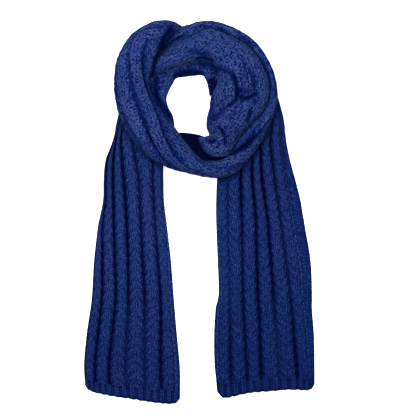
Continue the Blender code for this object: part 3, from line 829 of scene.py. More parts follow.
@dataclass(frozen=True)
class YarnFinish:
    """Dyed navy wool painted at three levels of light: lit on the crests, shaded on the sides and in painted
    shade in the hollows, with a pale painted sheen at grazing views and bumps of its fibres.
    """

    name: str
    # crest, side and deep are one dye painted at three levels of light: lit, half shaded and in deep painted
    # shade
    crest: tuple[float, float, float]
    side: tuple[float, float, float]
    deep: tuple[float, float, float]
    # pale colour and share of the painted sheen at grazing views
    fuzz_sheen: tuple[float, float, float]
    fuzz_sheen_share: float
    contrast: float
    strands: float
    loops: float
    mottle: float
    roughness: float = 0.95
    fibre_depth: float = 0.0006
    fibre_strength: float = 0.8
    veil_blend: float = 0.3
    veil_power: float = 2.0

    def material(self) -> bpy.types.Material:
        """The finish as a material.

        Returns:
            The material, made the first time and found again after that.
        """
        known = bpy.data.materials.get(self.name)
        if known:
            return known
        material = bpy.data.materials.new(self.name)
        material.use_nodes = True
        nodes = material.node_tree.nodes
        links = material.node_tree.links
        shader = nodes["Principled BSDF"]
        shader.inputs["Roughness"].default_value = self.roughness
        shader.inputs["Specular IOR Level"].default_value = 0.0
        wool = nodes.new("ShaderNodeGroup")
        wool.node_tree = Wool().group()
        for title, colour in (("Crest", self.crest), ("Side", self.side), ("Deep", self.deep)):
            wool.inputs[title].default_value = (*colour, 1.0)
        for title in ("Contrast", "Strands", "Loops", "Mottle"):
            wool.inputs[title].default_value = getattr(self, title.lower())
        place = nodes.new("ShaderNodeTexCoord")
        yarn = nodes.new("ShaderNodeUVMap")
        yarn.uv_map = "yarn"
        light = nodes.new("ShaderNodeAttribute")
        light.attribute_name = "light"
        bump = nodes.new("ShaderNodeBump")
        bump.inputs["Strength"].default_value = self.fibre_strength
        bump.inputs["Distance"].default_value = self.fibre_depth
        links.new(place.outputs["Object"], wool.inputs["Place"])
        links.new(yarn.outputs["UV"], wool.inputs["Yarn"])
        links.new(light.outputs["Fac"], wool.inputs["Light"])
        links.new(wool.outputs["Height"], bump.inputs["Height"])
        links.new(bump.outputs["Normal"], shader.inputs["Normal"])
        # Painted sheen: where the painted light is high, the colour turns towards the pale sheen colour at
        # grazing views.
        grazing = nodes.new("ShaderNodeLayerWeight")
        grazing.inputs["Blend"].default_value = self.veil_blend
        sums = NodeSums(material.node_tree)
        facing = sums.math("POWER", grazing.outputs["Facing"], self.veil_power)
        veil = sums.math("MULTIPLY", facing, self.fuzz_sheen_share)
        lit = sums.clamp(sums.math("POWER", light.outputs["Fac"], self.veil_power))
        rim = sums.math("MULTIPLY", veil, lit)
        links.new(sums.mix(rim, wool.outputs["Color"], (*self.fuzz_sheen, 1.0)), shader.inputs["Base Color"])
        return material


@dataclass
class NodeSums:
    """Writes sums as chains of math nodes in a node group."""

    tree: bpy.types.NodeTree

    def math(self, operation: str, *values: "bpy.types.NodeSocket | float") -> bpy.types.NodeSocket:
        """Adds a math node.

        Args:
            operation: Its operation.
            values: Sockets to link or numbers to set, in order.

        Returns:
            Its result.
        """
        node = self.tree.nodes.new("ShaderNodeMath")
        node.operation = operation
        for socket, value in zip(node.inputs, values):
            if isinstance(value, bpy.types.NodeSocket):
                self.tree.links.new(value, socket)
            else:
                socket.default_value = value
        return node.outputs["Value"]

    def less(self, value: bpy.types.NodeSocket, share: bpy.types.NodeSocket) -> bpy.types.NodeSocket:
        """1 where a value is 1, and less by a share where it is 0."""
        lost = self.math("MULTIPLY", share, self.math("SUBTRACT", 1.0, value))
        return self.math("SUBTRACT", 1.0, lost)

    def wave(self, value: bpy.types.NodeSocket) -> bpy.types.NodeSocket:
        """A soft wave that is 1 at every whole number and 0 halfway between."""
        cosine = self.math("COSINE", self.math("MULTIPLY", value, 2.0 * math.pi))
        return self.math("MULTIPLY_ADD", cosine, 0.5, 0.5)

    def broad(self, value: bpy.types.NodeSocket) -> bpy.types.NodeSocket:
        """Widens the crests of a wave and narrows its gaps."""
        gap = self.math("POWER", self.math("SUBTRACT", 1.0, value), 2.0)
        return self.math("SUBTRACT", 1.0, gap)

    def clamp(self, value: bpy.types.NodeSocket) -> bpy.types.NodeSocket:
        """Keeps a value between 0 and 1."""
        return self.math("MINIMUM", self.math("MAXIMUM", value, 0.0), 1.0)

    def vector(self, x: bpy.types.NodeSocket, y: bpy.types.NodeSocket) -> bpy.types.NodeSocket:
        """Joins two values to a vector.

        Args:
            x: Its first value.
            y: Its second value.

        Returns:
            The vector.
        """
        node = self.tree.nodes.new("ShaderNodeCombineXYZ")
        self.tree.links.new(x, node.inputs["X"])
        self.tree.links.new(y, node.inputs["Y"])
        return node.outputs["Vector"]

    def mix(
        self,
        factor: bpy.types.NodeSocket,
        first: bpy.types.NodeSocket,
        second: "bpy.types.NodeSocket | tuple[float, float, float, float]",
    ) -> bpy.types.NodeSocket:
        """Adds a mix of two colours.

        Args:
            factor: The second one's share.
            first: The first colour.
            second: The second colour.

        Returns:
            The mixed colour.
        """
        node = self.tree.nodes.new("ShaderNodeMix")
        node.data_type = "RGBA"
        self.tree.links.new(factor, node.inputs["Factor"])
        self.tree.links.new(first, node.inputs["A"])
        if isinstance(second, bpy.types.NodeSocket):
            self.tree.links.new(second, node.inputs["B"])
        else:
            node.inputs["B"].default_value = second
        return node.outputs["Result"]

    def noise(self, place: bpy.types.NodeSocket, scale: float, detail: float) -> bpy.types.NodeSocket:
        """Adds soft noise.

        Args:
            place: Where it is read.
            scale: Its scale.
            detail: How many finer layers it has.

        Returns:
            Its value, from 0 to 1.
        """
        node = self.tree.nodes.new("ShaderNodeTexNoise")
        node.inputs["Scale"].default_value = scale
        node.inputs["Detail"].default_value = detail
        self.tree.links.new(place, node.inputs["Vector"])
        return node.outputs["Fac"]


@dataclass(frozen=True)
class Wool:
    """The shared look of knitted wool: uneven loops with painted shade in the gaps between them, streaks
    along the yarn and fibres, coloured by the painted light.
    """

    sway: float = 0.35
    sway_scale: float = 150.0
    shift: float = 1.6
    shift_scale: float = 120.0
    slant: float = -1.1
    streak_share: float = 0.4
    streak_scale: float = 1.2
    streak_pace: float = 0.6
    mottle_scale: float = 300.0
    loop_share: float = 0.35
    least_tone: float = 0.62
    mean_tone: float = 0.74
    light_share: float = 0.5
    speckle_rise: float = 0.8
    least_speckle: float = 0.2
    fluff_share: float = 0.3
    fluff_scale: float = 400.0

    def group(self) -> bpy.types.NodeTree:
        """The look as a node group.

        Returns:
            The group, made the first time and found again after that.
        """
        known = bpy.data.node_groups.get("wool")
        if known:
            return known
        group = bpy.data.node_groups.new("wool", "ShaderNodeTree")
        kinds = {
            "NodeSocketColor": ("Crest", "Side", "Deep"),
            "NodeSocketFloat": ("Light", "Contrast", "Strands", "Loops", "Mottle"),
            "NodeSocketVector": ("Yarn", "Place"),
        }
        for kind, names in kinds.items():
            for name in names:
                group.interface.new_socket(name, in_out="INPUT", socket_type=kind)
        group.interface.new_socket("Color", in_out="OUTPUT", socket_type="NodeSocketColor")
        group.interface.new_socket("Height", in_out="OUTPUT", socket_type="NodeSocketFloat")
        sums = NodeSums(group)
        given = group.nodes.new("NodeGroupInput").outputs
        result = group.nodes.new("NodeGroupOutput").inputs
        split = group.nodes.new("ShaderNodeSeparateXYZ")
        group.links.new(given["Yarn"], split.inputs["Vector"])
        swaying = sums.noise(given["Place"], self.sway_scale, 2.0)
        sway = sums.math("MULTIPLY_ADD", swaying, 2.0 * self.sway, -self.sway)
        across = sums.math("ADD", split.outputs["X"], sway)
        number = sums.math("ROUND", across)
        bend = sums.math("ABSOLUTE", sums.math("SUBTRACT", across, number))
        strand = sums.wave(across)
        shifting = sums.noise(given["Place"], self.shift_scale, 1.0)
        shift = sums.math("MULTIPLY_ADD", shifting, self.shift, split.outputs["Y"])
        row = sums.math("ADD", shift, sums.math("MULTIPLY", bend, self.slant))
        loop = sums.wave(row)
        chance = group.nodes.new("ShaderNodeTexWhiteNoise")
        chance.noise_dimensions = "2D"
        group.links.new(sums.vector(number, sums.math("FLOOR", row)), chance.inputs["Vector"])
        drawn_out = sums.vector(across, sums.math("MULTIPLY", split.outputs["Y"], self.streak_pace))
        streaks = sums.noise(drawn_out, self.streak_scale, 1.0)
        mottle = sums.math("SUBTRACT", sums.noise(given["Place"], self.mottle_scale, 0.0), 0.5)
        # Painted shade darkens the gaps between strands and between loops.
        thick = sums.less(strand, given["Strands"])
        stitch = sums.math("MULTIPLY", thick, sums.less(loop, given["Loops"]))
        own = sums.math("MULTIPLY", chance.outputs["Value"], sums.math("MULTIPLY", strand, loop))
        streaked = sums.math("MULTIPLY_ADD", streaks, self.streak_share, self.least_tone)
        parts = sums.math("MULTIPLY_ADD", own, self.loop_share, streaked)
        spots = sums.math("MULTIPLY_ADD", mottle, given["Mottle"], parts)
        tone = sums.broad(sums.clamp(sums.math("MULTIPLY", stitch, spots)))
        speckle = sums.math("MULTIPLY", sums.math("SUBTRACT", tone, self.mean_tone), given["Contrast"])
        reach = sums.math("MULTIPLY_ADD", given["Light"], self.speckle_rise, self.least_speckle)
        speckled = sums.math("MULTIPLY", speckle, reach)
        # The painted light, with the speckle, sets the colour: from the deep painted shade through the
        # shaded side colour to the lit crest.
        factor = sums.math("MULTIPLY_ADD", given["Light"], self.light_share, speckled)
        low = sums.clamp(sums.math("MULTIPLY", factor, 2.0))
        high = sums.broad(sums.clamp(sums.math("MULTIPLY_ADD", factor, 2.0, -1.0)))
        shaded = sums.mix(low, given["Deep"], given["Side"])
        group.links.new(sums.mix(high, shaded, given["Crest"]), result["Color"])
        fluff = sums.noise(given["Place"], self.fluff_scale, 1.0)
        group.links.new(sums.math("MULTIPLY_ADD", fluff, self.fluff_share, stitch), result["Height"])
        return group


# Each finish paints light into the wool's colour; the ring's copy has a darker lit crest, and the shaded
# copy for the hidden layers is painted in shade throughout.
NAVY = YarnFinish(
    name="navy_wool",
    crest=(0.0165, 0.0290, 0.086),
    side=(0.0028, 0.0082, 0.051),
    deep=(0.0000, 0.0005, 0.0090),
    fuzz_sheen=(0.016, 0.032, 0.118),
    fuzz_sheen_share=0.5,
    contrast=1.45,
    strands=0.35,
    loops=0.3,
    mottle=0.8,
)
RING_NAVY = replace(
    NAVY,
    name="navy_wool_ring",
    crest=(0.0160, 0.0265, 0.077),
    contrast=1.9,
    strands=0.2,
    loops=0.35,
    mottle=1.3,
)
SHADED = YarnFinish(
    name="shaded_wool",
    crest=(0.0024, 0.0050, 0.024),
    side=(0.0008, 0.0020, 0.013),
    deep=(0.0000, 0.0004, 0.006),
    fuzz_sheen=(0.002, 0.005, 0.024),
    fuzz_sheen_share=0.0,
    contrast=1.2,
    strands=0.5,
    loops=0.4,
    mottle=1.2,
)


@dataclass(frozen=True)
class Cut:
    """A piece's flat size in metres, how it is held, and what it lies on; declare passes none of these on.
    """

    width: float
    length: float
    held: str
    rests_on: tuple[str, ...]

    def declare(self, piece: bpy.types.Object, finish: YarnFinish, nodes: Sequence[str]) -> None:
        """Finishes a piece, hands it to the frame and reports it.

        Args:
            piece: The piece's object.
            finish: Its finish.
            nodes: The frame's nodes that it stands for.
        """
        piece.data.materials.append(finish.material())
        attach(piece, "root")
        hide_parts(*nodes)
        piece.data.calc_loop_triangles()
        faces = len(piece.data.loop_triangles)
        cloth = 0.5 * sum(face.area for face in piece.data.polygons)
        log.info("%s: %d triangles, %.4f square metres of cloth", piece.name, faces, cloth)


# ---- The ring ----


@dataclass
class Arch:
    """The arched sections of one stretch, from its outer foot over the crown to its inner foot."""

    outer: np.ndarray
    inner: np.ndarray
    outer_foot: np.ndarray
    inner_foot: np.ndarray
    crown: np.ndarray
    cables: np.ndarray
    fold_gap: float = 0.05
    least_rise: float = 1.0
    power: ClassVar[float] = 0.82
    pull_share: float = 0.32

    @classmethod
    def share_over(cls, plan: np.ndarray) -> np.ndarray:
        """Places along the arch that lie over given shares of its width.

        Args:
            plan: The shares in plan, from 0 at the outer foot to 1 at the inner one, or past them.

        Returns:
            The places along the arch, as shares of its half turn.
        """
        middle = 1.0 - 2.0 * np.clip(plan, 0.0, 1.0)
        angle = np.arccos(np.sign(middle) * np.abs(middle) ** (1.0 / cls.power))
        return angle / math.pi + np.minimum(plan, 0.0) + np.maximum(plan - 1.0, 0.0)

    def points(self, shares: np.ndarray, inset: float) -> np.ndarray:
        """Points of the arch.

        Args:
            shares: Places across, from 0 at the outer foot to 1 at the inner one.
            inset: How far the arch is pulled in, in millimetres.

        Returns:
            A grid of points, a row for each section.
        """
        pull = np.minimum(inset, self.pull_share * self.width)
        outer = self.outer + self.inward * (pull + self.fold_gap)[:, None]
        inner = self.inner - self.inward * (pull + self.fold_gap)[:, None]
        cosine = np.cos(math.pi * shares)
        plan = 0.5 - 0.5 * np.sign(cosine) * np.abs(cosine) ** self.power
        height = np.maximum(0.0, np.sin(math.pi * shares)) ** self.power
        foot = self.outer_foot[:, None] + (self.inner_foot - self.outer_foot)[:, None] * plan
        crown = np.maximum((self.crown - pull)[:, None], foot + self.least_rise)
        ground = outer[:, None] + (inner - outer)[:, None] * plan[:, None]
        return np.concatenate([ground, (foot + (crown - foot) * height)[..., None]], axis=2)

    def length(self) -> np.ndarray:
        """Measures along the middle of the stretch.

        Returns:
            The length up to each section.
        """
        middle = 0.5 * (self.outer + self.inner)
        steps = np.linalg.norm(np.diff(middle, axis=0), axis=1)
        return np.concatenate([[0.0], np.cumsum(steps)])

    @cached_property
    def width(self) -> np.ndarray:
        """Width in plan at each section."""
        return np.linalg.norm(self.inner - self.outer, axis=1)

    @cached_property
    def inward(self) -> np.ndarray:
        """Unit vectors in plan from the outer foot to the inner one."""
        return (self.inner - self.outer) / self.width[:, None]


@dataclass(frozen=True)
class EdgeLight:
    """How brightly a stretch's two edges are painted at even steps along it, from 0 for black painted shade
    to 1.
    """

    outer: tuple[float, ...]
    inner: tuple[float, ...]
    width: float = 0.13

    def over(self, shares: np.ndarray, rows: int) -> np.ndarray:
        """The openness over a grid.

        Args:
            shares: Places across.
            rows: How many rows the grid has.

        Returns:
            The painted light, rows by places.
        """
        run = np.linspace(0.0, 1.0, rows)
        outer = np.interp(run, np.linspace(0.0, 1.0, len(self.outer)), self.outer)[:, None]
        inner = np.interp(run, np.linspace(0.0, 1.0, len(self.inner)), self.inner)[:, None]
        out = smooth_step(0.0, self.width, shares)[None, :]
        into = smooth_step(0.0, self.width, 1.0 - shares)[None, :]
        return (outer + (1.0 - outer) * out) * (inner + (1.0 - inner) * into)


@dataclass(frozen=True)
class Folds:
    """The folds drawn on one stretch of cloth."""

    rows: Sequence[Fold]
    line_points: int = 25
    reach: float = 2.6  # widths past which a fold isn't felt
    taper: tuple[float, float] = (-0.08, 0.18)  # shares of its length over which a fold starts

    def relief(self, points: np.ndarray, spread: float = 0.0) -> tuple[np.ndarray, np.ndarray]:
        """What the folds do to the cloth.

        Args:
            points: A grid of points.
            spread: How much wider each trough is taken.

        Returns:
            How deep the cloth is pressed in, in millimetres, and the light painted by the folds, from -1 for
            painted shade to 1 for painted highlights.
        """
        depth = np.zeros(points.shape[:2])
        raised = np.zeros(points.shape[:2])
        dark = np.zeros(points.shape[:2])
        lit = np.zeros(points.shape[:2])
        for fold in self.rows:
            near = self._nearness(fold, points, fold.width + spread)
            if fold.depth > 0.0:
                depth = np.maximum(depth, fold.depth * near)
            else:
                raised = np.maximum(raised, -fold.depth * near)
            if fold.tone < 0.0:
                dark = np.maximum(dark, -fold.tone * near)
            else:
                lit = np.maximum(lit, fold.tone * near)
        return depth - raised, lit - dark

    def _nearness(self, fold: Fold, points: np.ndarray, width: float) -> np.ndarray:
        """How near the points are to a fold.

        Args:
            fold: The fold.
            points: A grid of points.
            width: Width that the fold is taken to have.

        Returns:
            1 on the fold's line, falling softly to 0 beside it and towards its ends.
        """
        places = [Point(fold.x1, fold.y1), Point(fold.x2, fold.y2), Point(fold.x3, fold.y3)]
        shares = np.linspace(0.0, 1.0, self.line_points)
        line = SmoothTable(places).at(2.0 * shares)
        reach = self.reach * width
        x = points[..., 0]
        y = points[..., 1]
        inside = (x > line[:, 0].min() - reach) & (x < line[:, 0].max() + reach)
        inside &= (y > line[:, 1].min() - reach) & (y < line[:, 1].max() + reach)
        near = np.zeros(points.shape[:2])
        if not inside.any():
            return near
        gap = np.hypot(x[inside][:, None] - line[:, 0], y[inside][:, None] - line[:, 1])
        share = shares[gap.argmin(axis=1)]
        taper = smooth_step(*self.taper, np.minimum(share, 1.0 - share))
        near[inside] = taper * np.exp(-((gap.min(axis=1) / width) ** 2))
        return near


@dataclass
class RingStretch:
    """One stretch of the ring: an arched wall with cables along it."""

    node: str
    flat: tuple[float, float]  # its flat size, in metres
    arch: Arch
    columns: int
    folds: Folds
    opens: Opens
    edges: "tuple[np.ndarray, np.ndarray] | None" = None
    even_depth: float = 0.3
    start_length: float = 0.0
    seed: int = 0
    over: "Overhead | None" = None
    knit: CableKnit = RING_KNIT
    edge_light: EdgeLight = EdgeLight((0.9, 0.9), (0.35, 0.35))
    wall: float = 4.0
    gap_above: float = 1.0
    bunched_rise: float = 5.2
    bunched_share: float = 0.40
    surface_share: float = 1.25
    stagger: float = 0.37
    valley_relief: float = 0.35
    valley_light: float = 0.8
    lit: float = 0.9
    wander: Grain = Grain(0.06, 40, 6, 0)
    drift: Grain = Grain(3.0, 25, 10, 1)
    swell: Grain = Grain(0.25, 30, 8, 2)
    sway: Grain = Grain(0.35, 5, 8, 3)  # across tells how many columns there are to a knot
    frill: Grain = Grain(0.9, 4, 1, 6)
    patches: Grain = Grain(0.12, 18, 7, 7)
    frill_reach: float = 0.14
    inside_rows: int = 60
    inside_columns: int = 8
    inside_spread: float = 6.0

    def cables(self, shares: np.ndarray) -> tuple[np.ndarray, np.ndarray, np.ndarray]:
        """How the cables lie on the stretch.

        Args:
            shares: Places across.

        Returns:
            For each point its cable's number with the fraction across, how deep the nearest valley is, and
            how wide the cable is.
        """
        span = self.surface_share * self.arch.width
        if self.edges is None:
            turns = self.arch.cables[:, None] * shares[None, :]
            width = np.broadcast_to((span / self.arch.cables)[:, None], turns.shape)
            return turns, np.full(turns.shape, self.even_depth), width
        places, depths = self.edges
        turns = np.empty((len(span), len(shares)))
        depth = np.empty(turns.shape)
        width = np.empty(turns.shape)
        numbers = np.arange(places.shape[1], dtype=float)
        for i, row in enumerate(places):
            turns[i] = np.interp(shares, row, numbers)
            depth[i] = depths[i][np.round(turns[i]).astype(int)]
            cable = np.minimum(turns[i].astype(int), len(numbers) - 2)
            width[i] = span[i] * np.diff(row)[cable]
        return turns, depth, width

    def build(self) -> bpy.types.Object:
        """Returns:
            Its object.
        """
        shares = np.linspace(0.0, 1.0, self.columns + 1)
        smooth = self.arch.points(shares, 0.0)
        shape = smooth.shape[:2]
        length = self.start_length + self.arch.length()
        fade = foot_fade(shares)
        turns, depth, width = self.cables(shares)
        cable = turns + self.wander.by_rows(shape, self.seed) * fade
        number = np.floor(cable)
        offset = self.stagger * number * self.knit.repeat
        along = length[:, None] + offset + self.drift.by_rows(shape, self.seed)
        sway = self.sway._replace(across=self.columns // self.sway.across).by_rows(shape, self.seed)
        knit = self.knit.surface(2.0 * (cable - number) - 1.0, along, self.opens, number, width, sway)
        body = 1.0 - depth * (1.0 - knit.body)
        bunched = self.bunched_share * self.arch.width / self.arch.cables
        rise = np.minimum(self.bunched_rise, bunched)[:, None] * (1.0 + self.swell.by_rows(shape, self.seed))
        lift = (knit.relief * rising(self.valley_relief, body) - rise * (1.0 - body)) * fade
        outside = smooth + grid_normals(smooth) * lift[..., None]
        frill = self.frill.by_rows((shape[0], 1), self.seed) * smooth_step(self.frill_reach, 0.0, shares)
        outside[..., :2] += self.arch.inward[:, None] * frill[..., None]
        trough, tone = self.folds.relief(outside)
        outside[..., 2] = np.maximum(0.0, outside[..., 2] - trough * fade)
        patches = 1.0 + self.patches.by_rows(shape, self.seed)
        # Painted shade in the valleys and at the edges, with random patches of tone.
        light = knit.light * patches * body**self.valley_light * self.edge_light.over(shares, shape[0])
        # Painted shade in the folds' creases, and painted highlights on their ridges and rims.
        light = np.where(tone < 0.0, light * (1.0 + tone), light + tone * (self.lit - 0.5 * light))
        inside = self._inside()
        if self.over:
            for grid, gap in ((outside, self.gap_above), (inside, self.gap_above + self.wall)):
                limit = self.over.limit(grid[..., 0], grid[..., 1])
                grid[..., 2] = np.maximum(0.0, np.minimum(grid[..., 2], limit - gap))
        yarn = np.stack([knit.strand, knit.row], axis=-1)
        piece = Wall(outside, inside, light, yarn).mesh(f"{self.node}_knit")
        Cut(*self.flat, "folded", ("hidden_folds_knit",)).declare(piece, RING_NAVY, [self.node])
        return piece

    def _inside(self) -> np.ndarray:
        """The plain grid inside the wall, below every fold.

        Returns:
            Its points, a row for each section that it keeps.
        """
        shares = np.linspace(0.0, 1.0, self.inside_columns + 1)
        grid = self.arch.points(shares, self.wall + self.bunched_rise)
        keep = np.unique(np.linspace(0, grid.shape[0] - 1, self.inside_rows).astype(int))
        grid = grid[keep]
        fade = foot_fade(shares)
        foot = np.minimum(self.arch.outer_foot, self.arch.inner_foot)[keep][:, None]
        folded = np.maximum(0.0, self.folds.relief(grid, self.inside_spread)[0])
        lowered = np.maximum(np.maximum(foot, 0.0), grid[..., 2] - folded * fade)
        grid[..., 2] = np.where(fade > 0.0, lowered, np.maximum(0.0, grid[..., 2]))
        return grid


@dataclass
class Ring:
    """The wound ring: the front band, the outer and inner turns, and the lower layer at the neck hole."""

    band: SmoothTable = SmoothTable(BAND)
    turn: SmoothTable = SmoothTable(INNER_TURN)
    under: SmoothTable = SmoothTable(UNDER_TURN)
    front_rows: int = 500
    outer_rows: int = 320
    inner_rows: int = 420
    under_rows: int = 220
    under_cables: float = 2.0
    outline_points: int = 400

    def band_arch(self, first: float, last: float, count: int) -> Arch:
        """The band's arch from one place in its table to another."""
        rows = self.band.at(np.linspace(first, last, count))
        return Arch(rows[:, 0:2], rows[:, 2:4], rows[:, 4], rows[:, 5], rows[:, 6], rows[:, 7])

    def turn_arch(self, count: int) -> Arch:
        """The inner turn's arch, with its outer edge on the band's inner edge.

        Args:
            count: How many sections it has.

        Returns:
            The arch.
        """
        rows = self.turn.at(np.linspace(0.0, len(INNER_TURN) - 1.0, count))
        edge = self.band.at(rows[:, 0])[:, 2:4]
        return Arch(edge, rows[:, 1:3], rows[:, 3], rows[:, 4], rows[:, 5], rows[:, 6])

    def under_arch(self, count: int) -> Arch:
        """The under turn's arch, whose inner foot is on the surface.

        Args:
            count: How many sections it has.

        Returns:
            The arch.
        """
        rows = self.under.at(np.linspace(0.0, len(UNDER_TURN) - 1.0, count))
        cables = np.full(count, self.under_cables)
        return Arch(rows[:, 0:2], rows[:, 2:4], rows[:, 4], np.zeros(count), rows[:, 5], cables)

    def outline(self) -> np.ndarray:
        """Points round the ring's outline."""
        return self.band.at(np.linspace(0.0, RING_CLOSES, self.outline_points))[:, :2]

    def band_edges(self, first: float, last: float, count: int) -> tuple[np.ndarray, np.ndarray]:
        """Places and depths of the valleys between the band's cables.

        Args:
            first: Place of the first section in the band's table.
            last: Place of the last one.
            count: How many sections there are.

        Returns:
            For each section, the valleys' places along the arch and their depths.
        """
        table = SmoothTable(BAND_KNIT)
        rows = table.at(table.place(0, np.linspace(first, last, count)))
        return Arch.share_over(rows[:, 1:7]), np.clip(rows[:, 7:13], 0.0, 1.0)

    def build_top(self) -> list[bpy.types.Object]:
        """Returns:
            Their objects.
        """
        front = RingStretch(
            node="front_band",
            flat=(0.092, 0.74),
            arch=self.band_arch(0.0, BAND_SPLIT, self.front_rows),
            columns=150,
            folds=Folds(FRONT_FOLDS),
            opens=Opens.BACK,
            edges=self.band_edges(0.0, BAND_SPLIT, self.front_rows),
            edge_light=EdgeLight((1.0, 1.0), (0.8, 0.7)),
            seed=1,
        )
        outer = RingStretch(
            node="outer_turn",
            flat=(0.04, 0.46),
            arch=self.band_arch(BAND_SPLIT, BAND_END, self.outer_rows),
            columns=44,
            folds=Folds(OUTER_FOLDS),
            opens=Opens.BACK,
            edges=self.band_edges(BAND_SPLIT, BAND_END, self.outer_rows),
            edge_light=EdgeLight((0.8, 0.7, 0.8, 0.9, 0.9), (0.15, 0.1, 0.5, 0.9, 0.7), 0.4),
            start_length=float(front.arch.length()[-1]),
            seed=5,
        )
        inner = RingStretch(
            node="inner_turn",
            flat=(0.115, 0.42),
            arch=self.turn_arch(self.inner_rows),
            columns=160,
            folds=Folds(INNER_FOLDS),
            opens=Opens.ALONG,
            even_depth=0.22,
            edge_light=EdgeLight((0.85, 0.85, 0.4, 0.15, 0.1), (1.0, 0.6), 0.07),
            seed=9,
        )
        return [stretch.build() for stretch in (front, outer, inner)]

    def build_under(self, over: "Overhead") -> bpy.types.Object:
        """Args:
            over: The cloth above it.

        Returns:
            Its object.
        """
        under = RingStretch(
            node="under_turn",
            flat=(0.05, 0.29),
            arch=self.under_arch(self.under_rows),
            columns=44,
            folds=Folds(UNDER_FOLDS),
            opens=Opens.ALONG,
            even_depth=0.2,
            over=over,
            seed=13,
        )
        return under.build()


# ---- The tails and their borders ----


def radius_at(line: np.ndarray, angles: np.ndarray) -> np.ndarray:
    """How far out a closed line lies from the neck centre.

    Args:
        line: Points of the line in plan.
        angles: The directions, in any shape.

    Returns:
        The line's distance in each direction.
    """
    arms = line - NECK_CENTRE
    known = np.arctan2(arms[:, 1], arms[:, 0])
    order = np.argsort(known)
    distances = np.hypot(arms[:, 0], arms[:, 1])[order]
    return np.interp(angles, known[order], distances, period=2 * math.pi)


@dataclass
class Overhead:
    """How low the cloth above comes down, felt on a grid in plan."""

    above: Sequence[bpy.types.Object]
    step: float = 3.0
    low: tuple[float, float] = (-190.0, 40.0)
    high: tuple[float, float] = (175.0, 400.0)
    open_height: float = 200.0
    past_last: float = 1.001  # keeps every place a little before the last grid line
    felt: float = 30.0  # how far past its reach the cloth above is felt
    below: float = -50.0  # height from which the undersides are felt for

    @cached_property
    def undersides(self) -> np.ndarray:
        """Feels for the cloth above from below.

        Returns:
            Height of the lowest underside over each grid point.
        """
        trees = [BVHTree.FromPolygons(*self._shape(piece)) for piece in self.above]
        xs = np.arange(self.low[0], self.high[0], self.step)
        ys = np.arange(self.low[1], self.high[1], self.step)
        found = np.full((len(xs), len(ys)), self.open_height)
        for i, x in enumerate(xs):
            for j, y in enumerate(ys):
                for tree in trees:
                    hit = tree.ray_cast(Vector((x, y, self.below)), UP)[0]
                    if hit is not None:
                        found[i, j] = min(found[i, j], hit.z)
        return found

    @staticmethod
    def _shape(piece: bpy.types.Object) -> tuple[list[Vector], list[tuple[int, ...]]]:
        """Reads a piece's mesh.

        Args:
            piece: The piece.

        Returns:
            Its points, in the tables' millimetres, and its faces as point numbers.
        """
        offset = Vector(CENTRING)
        points = [vertex.co / MM - offset for vertex in piece.data.vertices]
        return points, [tuple(face.vertices) for face in piece.data.polygons]

    def limit(self, x: np.ndarray, y: np.ndarray, reach: float = 5.0, slope: float = 0.7) -> np.ndarray:
        """How high cloth can lie below.

        Args:
            x: Places in plan.
            y: Places in plan, in the same shape.
            reach: How far around a place the cloth above presses fully.
            slope: How fast its pressure lets go beyond that.

        Returns:
            The height of the lowest underside in reach.
        """
        heights = self._eased(reach, slope)
        u = np.clip((x - self.low[0]) / self.step, 0, heights.shape[0] - self.past_last)
        v = np.clip((y - self.low[1]) / self.step, 0, heights.shape[1] - self.past_last)
        i = u.astype(int)
        j = v.astype(int)
        s = u - i
        t = v - j
        near = heights[i, j] * (1 - t) + heights[i, j + 1] * t
        far = heights[i + 1, j] * (1 - t) + heights[i + 1, j + 1] * t
        return near * (1 - s) + far * s

    def _eased(self, reach: float, slope: float) -> np.ndarray:
        """Spreads the undersides to the places around them.

        Args:
            reach: How far around a place the cloth above presses fully.
            slope: How fast its pressure lets go beyond that.

        Returns:
            The heights on the grid.
        """
        span = int((reach + self.felt) / self.step)
        padded = np.pad(self.undersides, span, constant_values=self.open_height)
        eased = np.full(self.undersides.shape, self.open_height)
        rows, columns = eased.shape
        for di in range(-span, span + 1):
            for dj in range(-span, span + 1):
                gap = math.hypot(di, dj) * self.step
                near = padded[span + di : span + di + rows, span + dj : span + dj + columns]
                eased = np.minimum(eased, near + slope * max(0.0, gap - reach))
        return eased


class Strip(Enum):
    """What a strip of a tail is knitted in."""

    CABLE = "cable"
    SELVEDGE = "selvedge"


@dataclass
class TailSurface:
    """The knit over a tail's grid: each point's run, place across its strip, height, painted light and yarn.
    """

    run: np.ndarray
    across: np.ndarray
    height: np.ndarray
    light: np.ndarray
    strand: np.ndarray
    row: np.ndarray


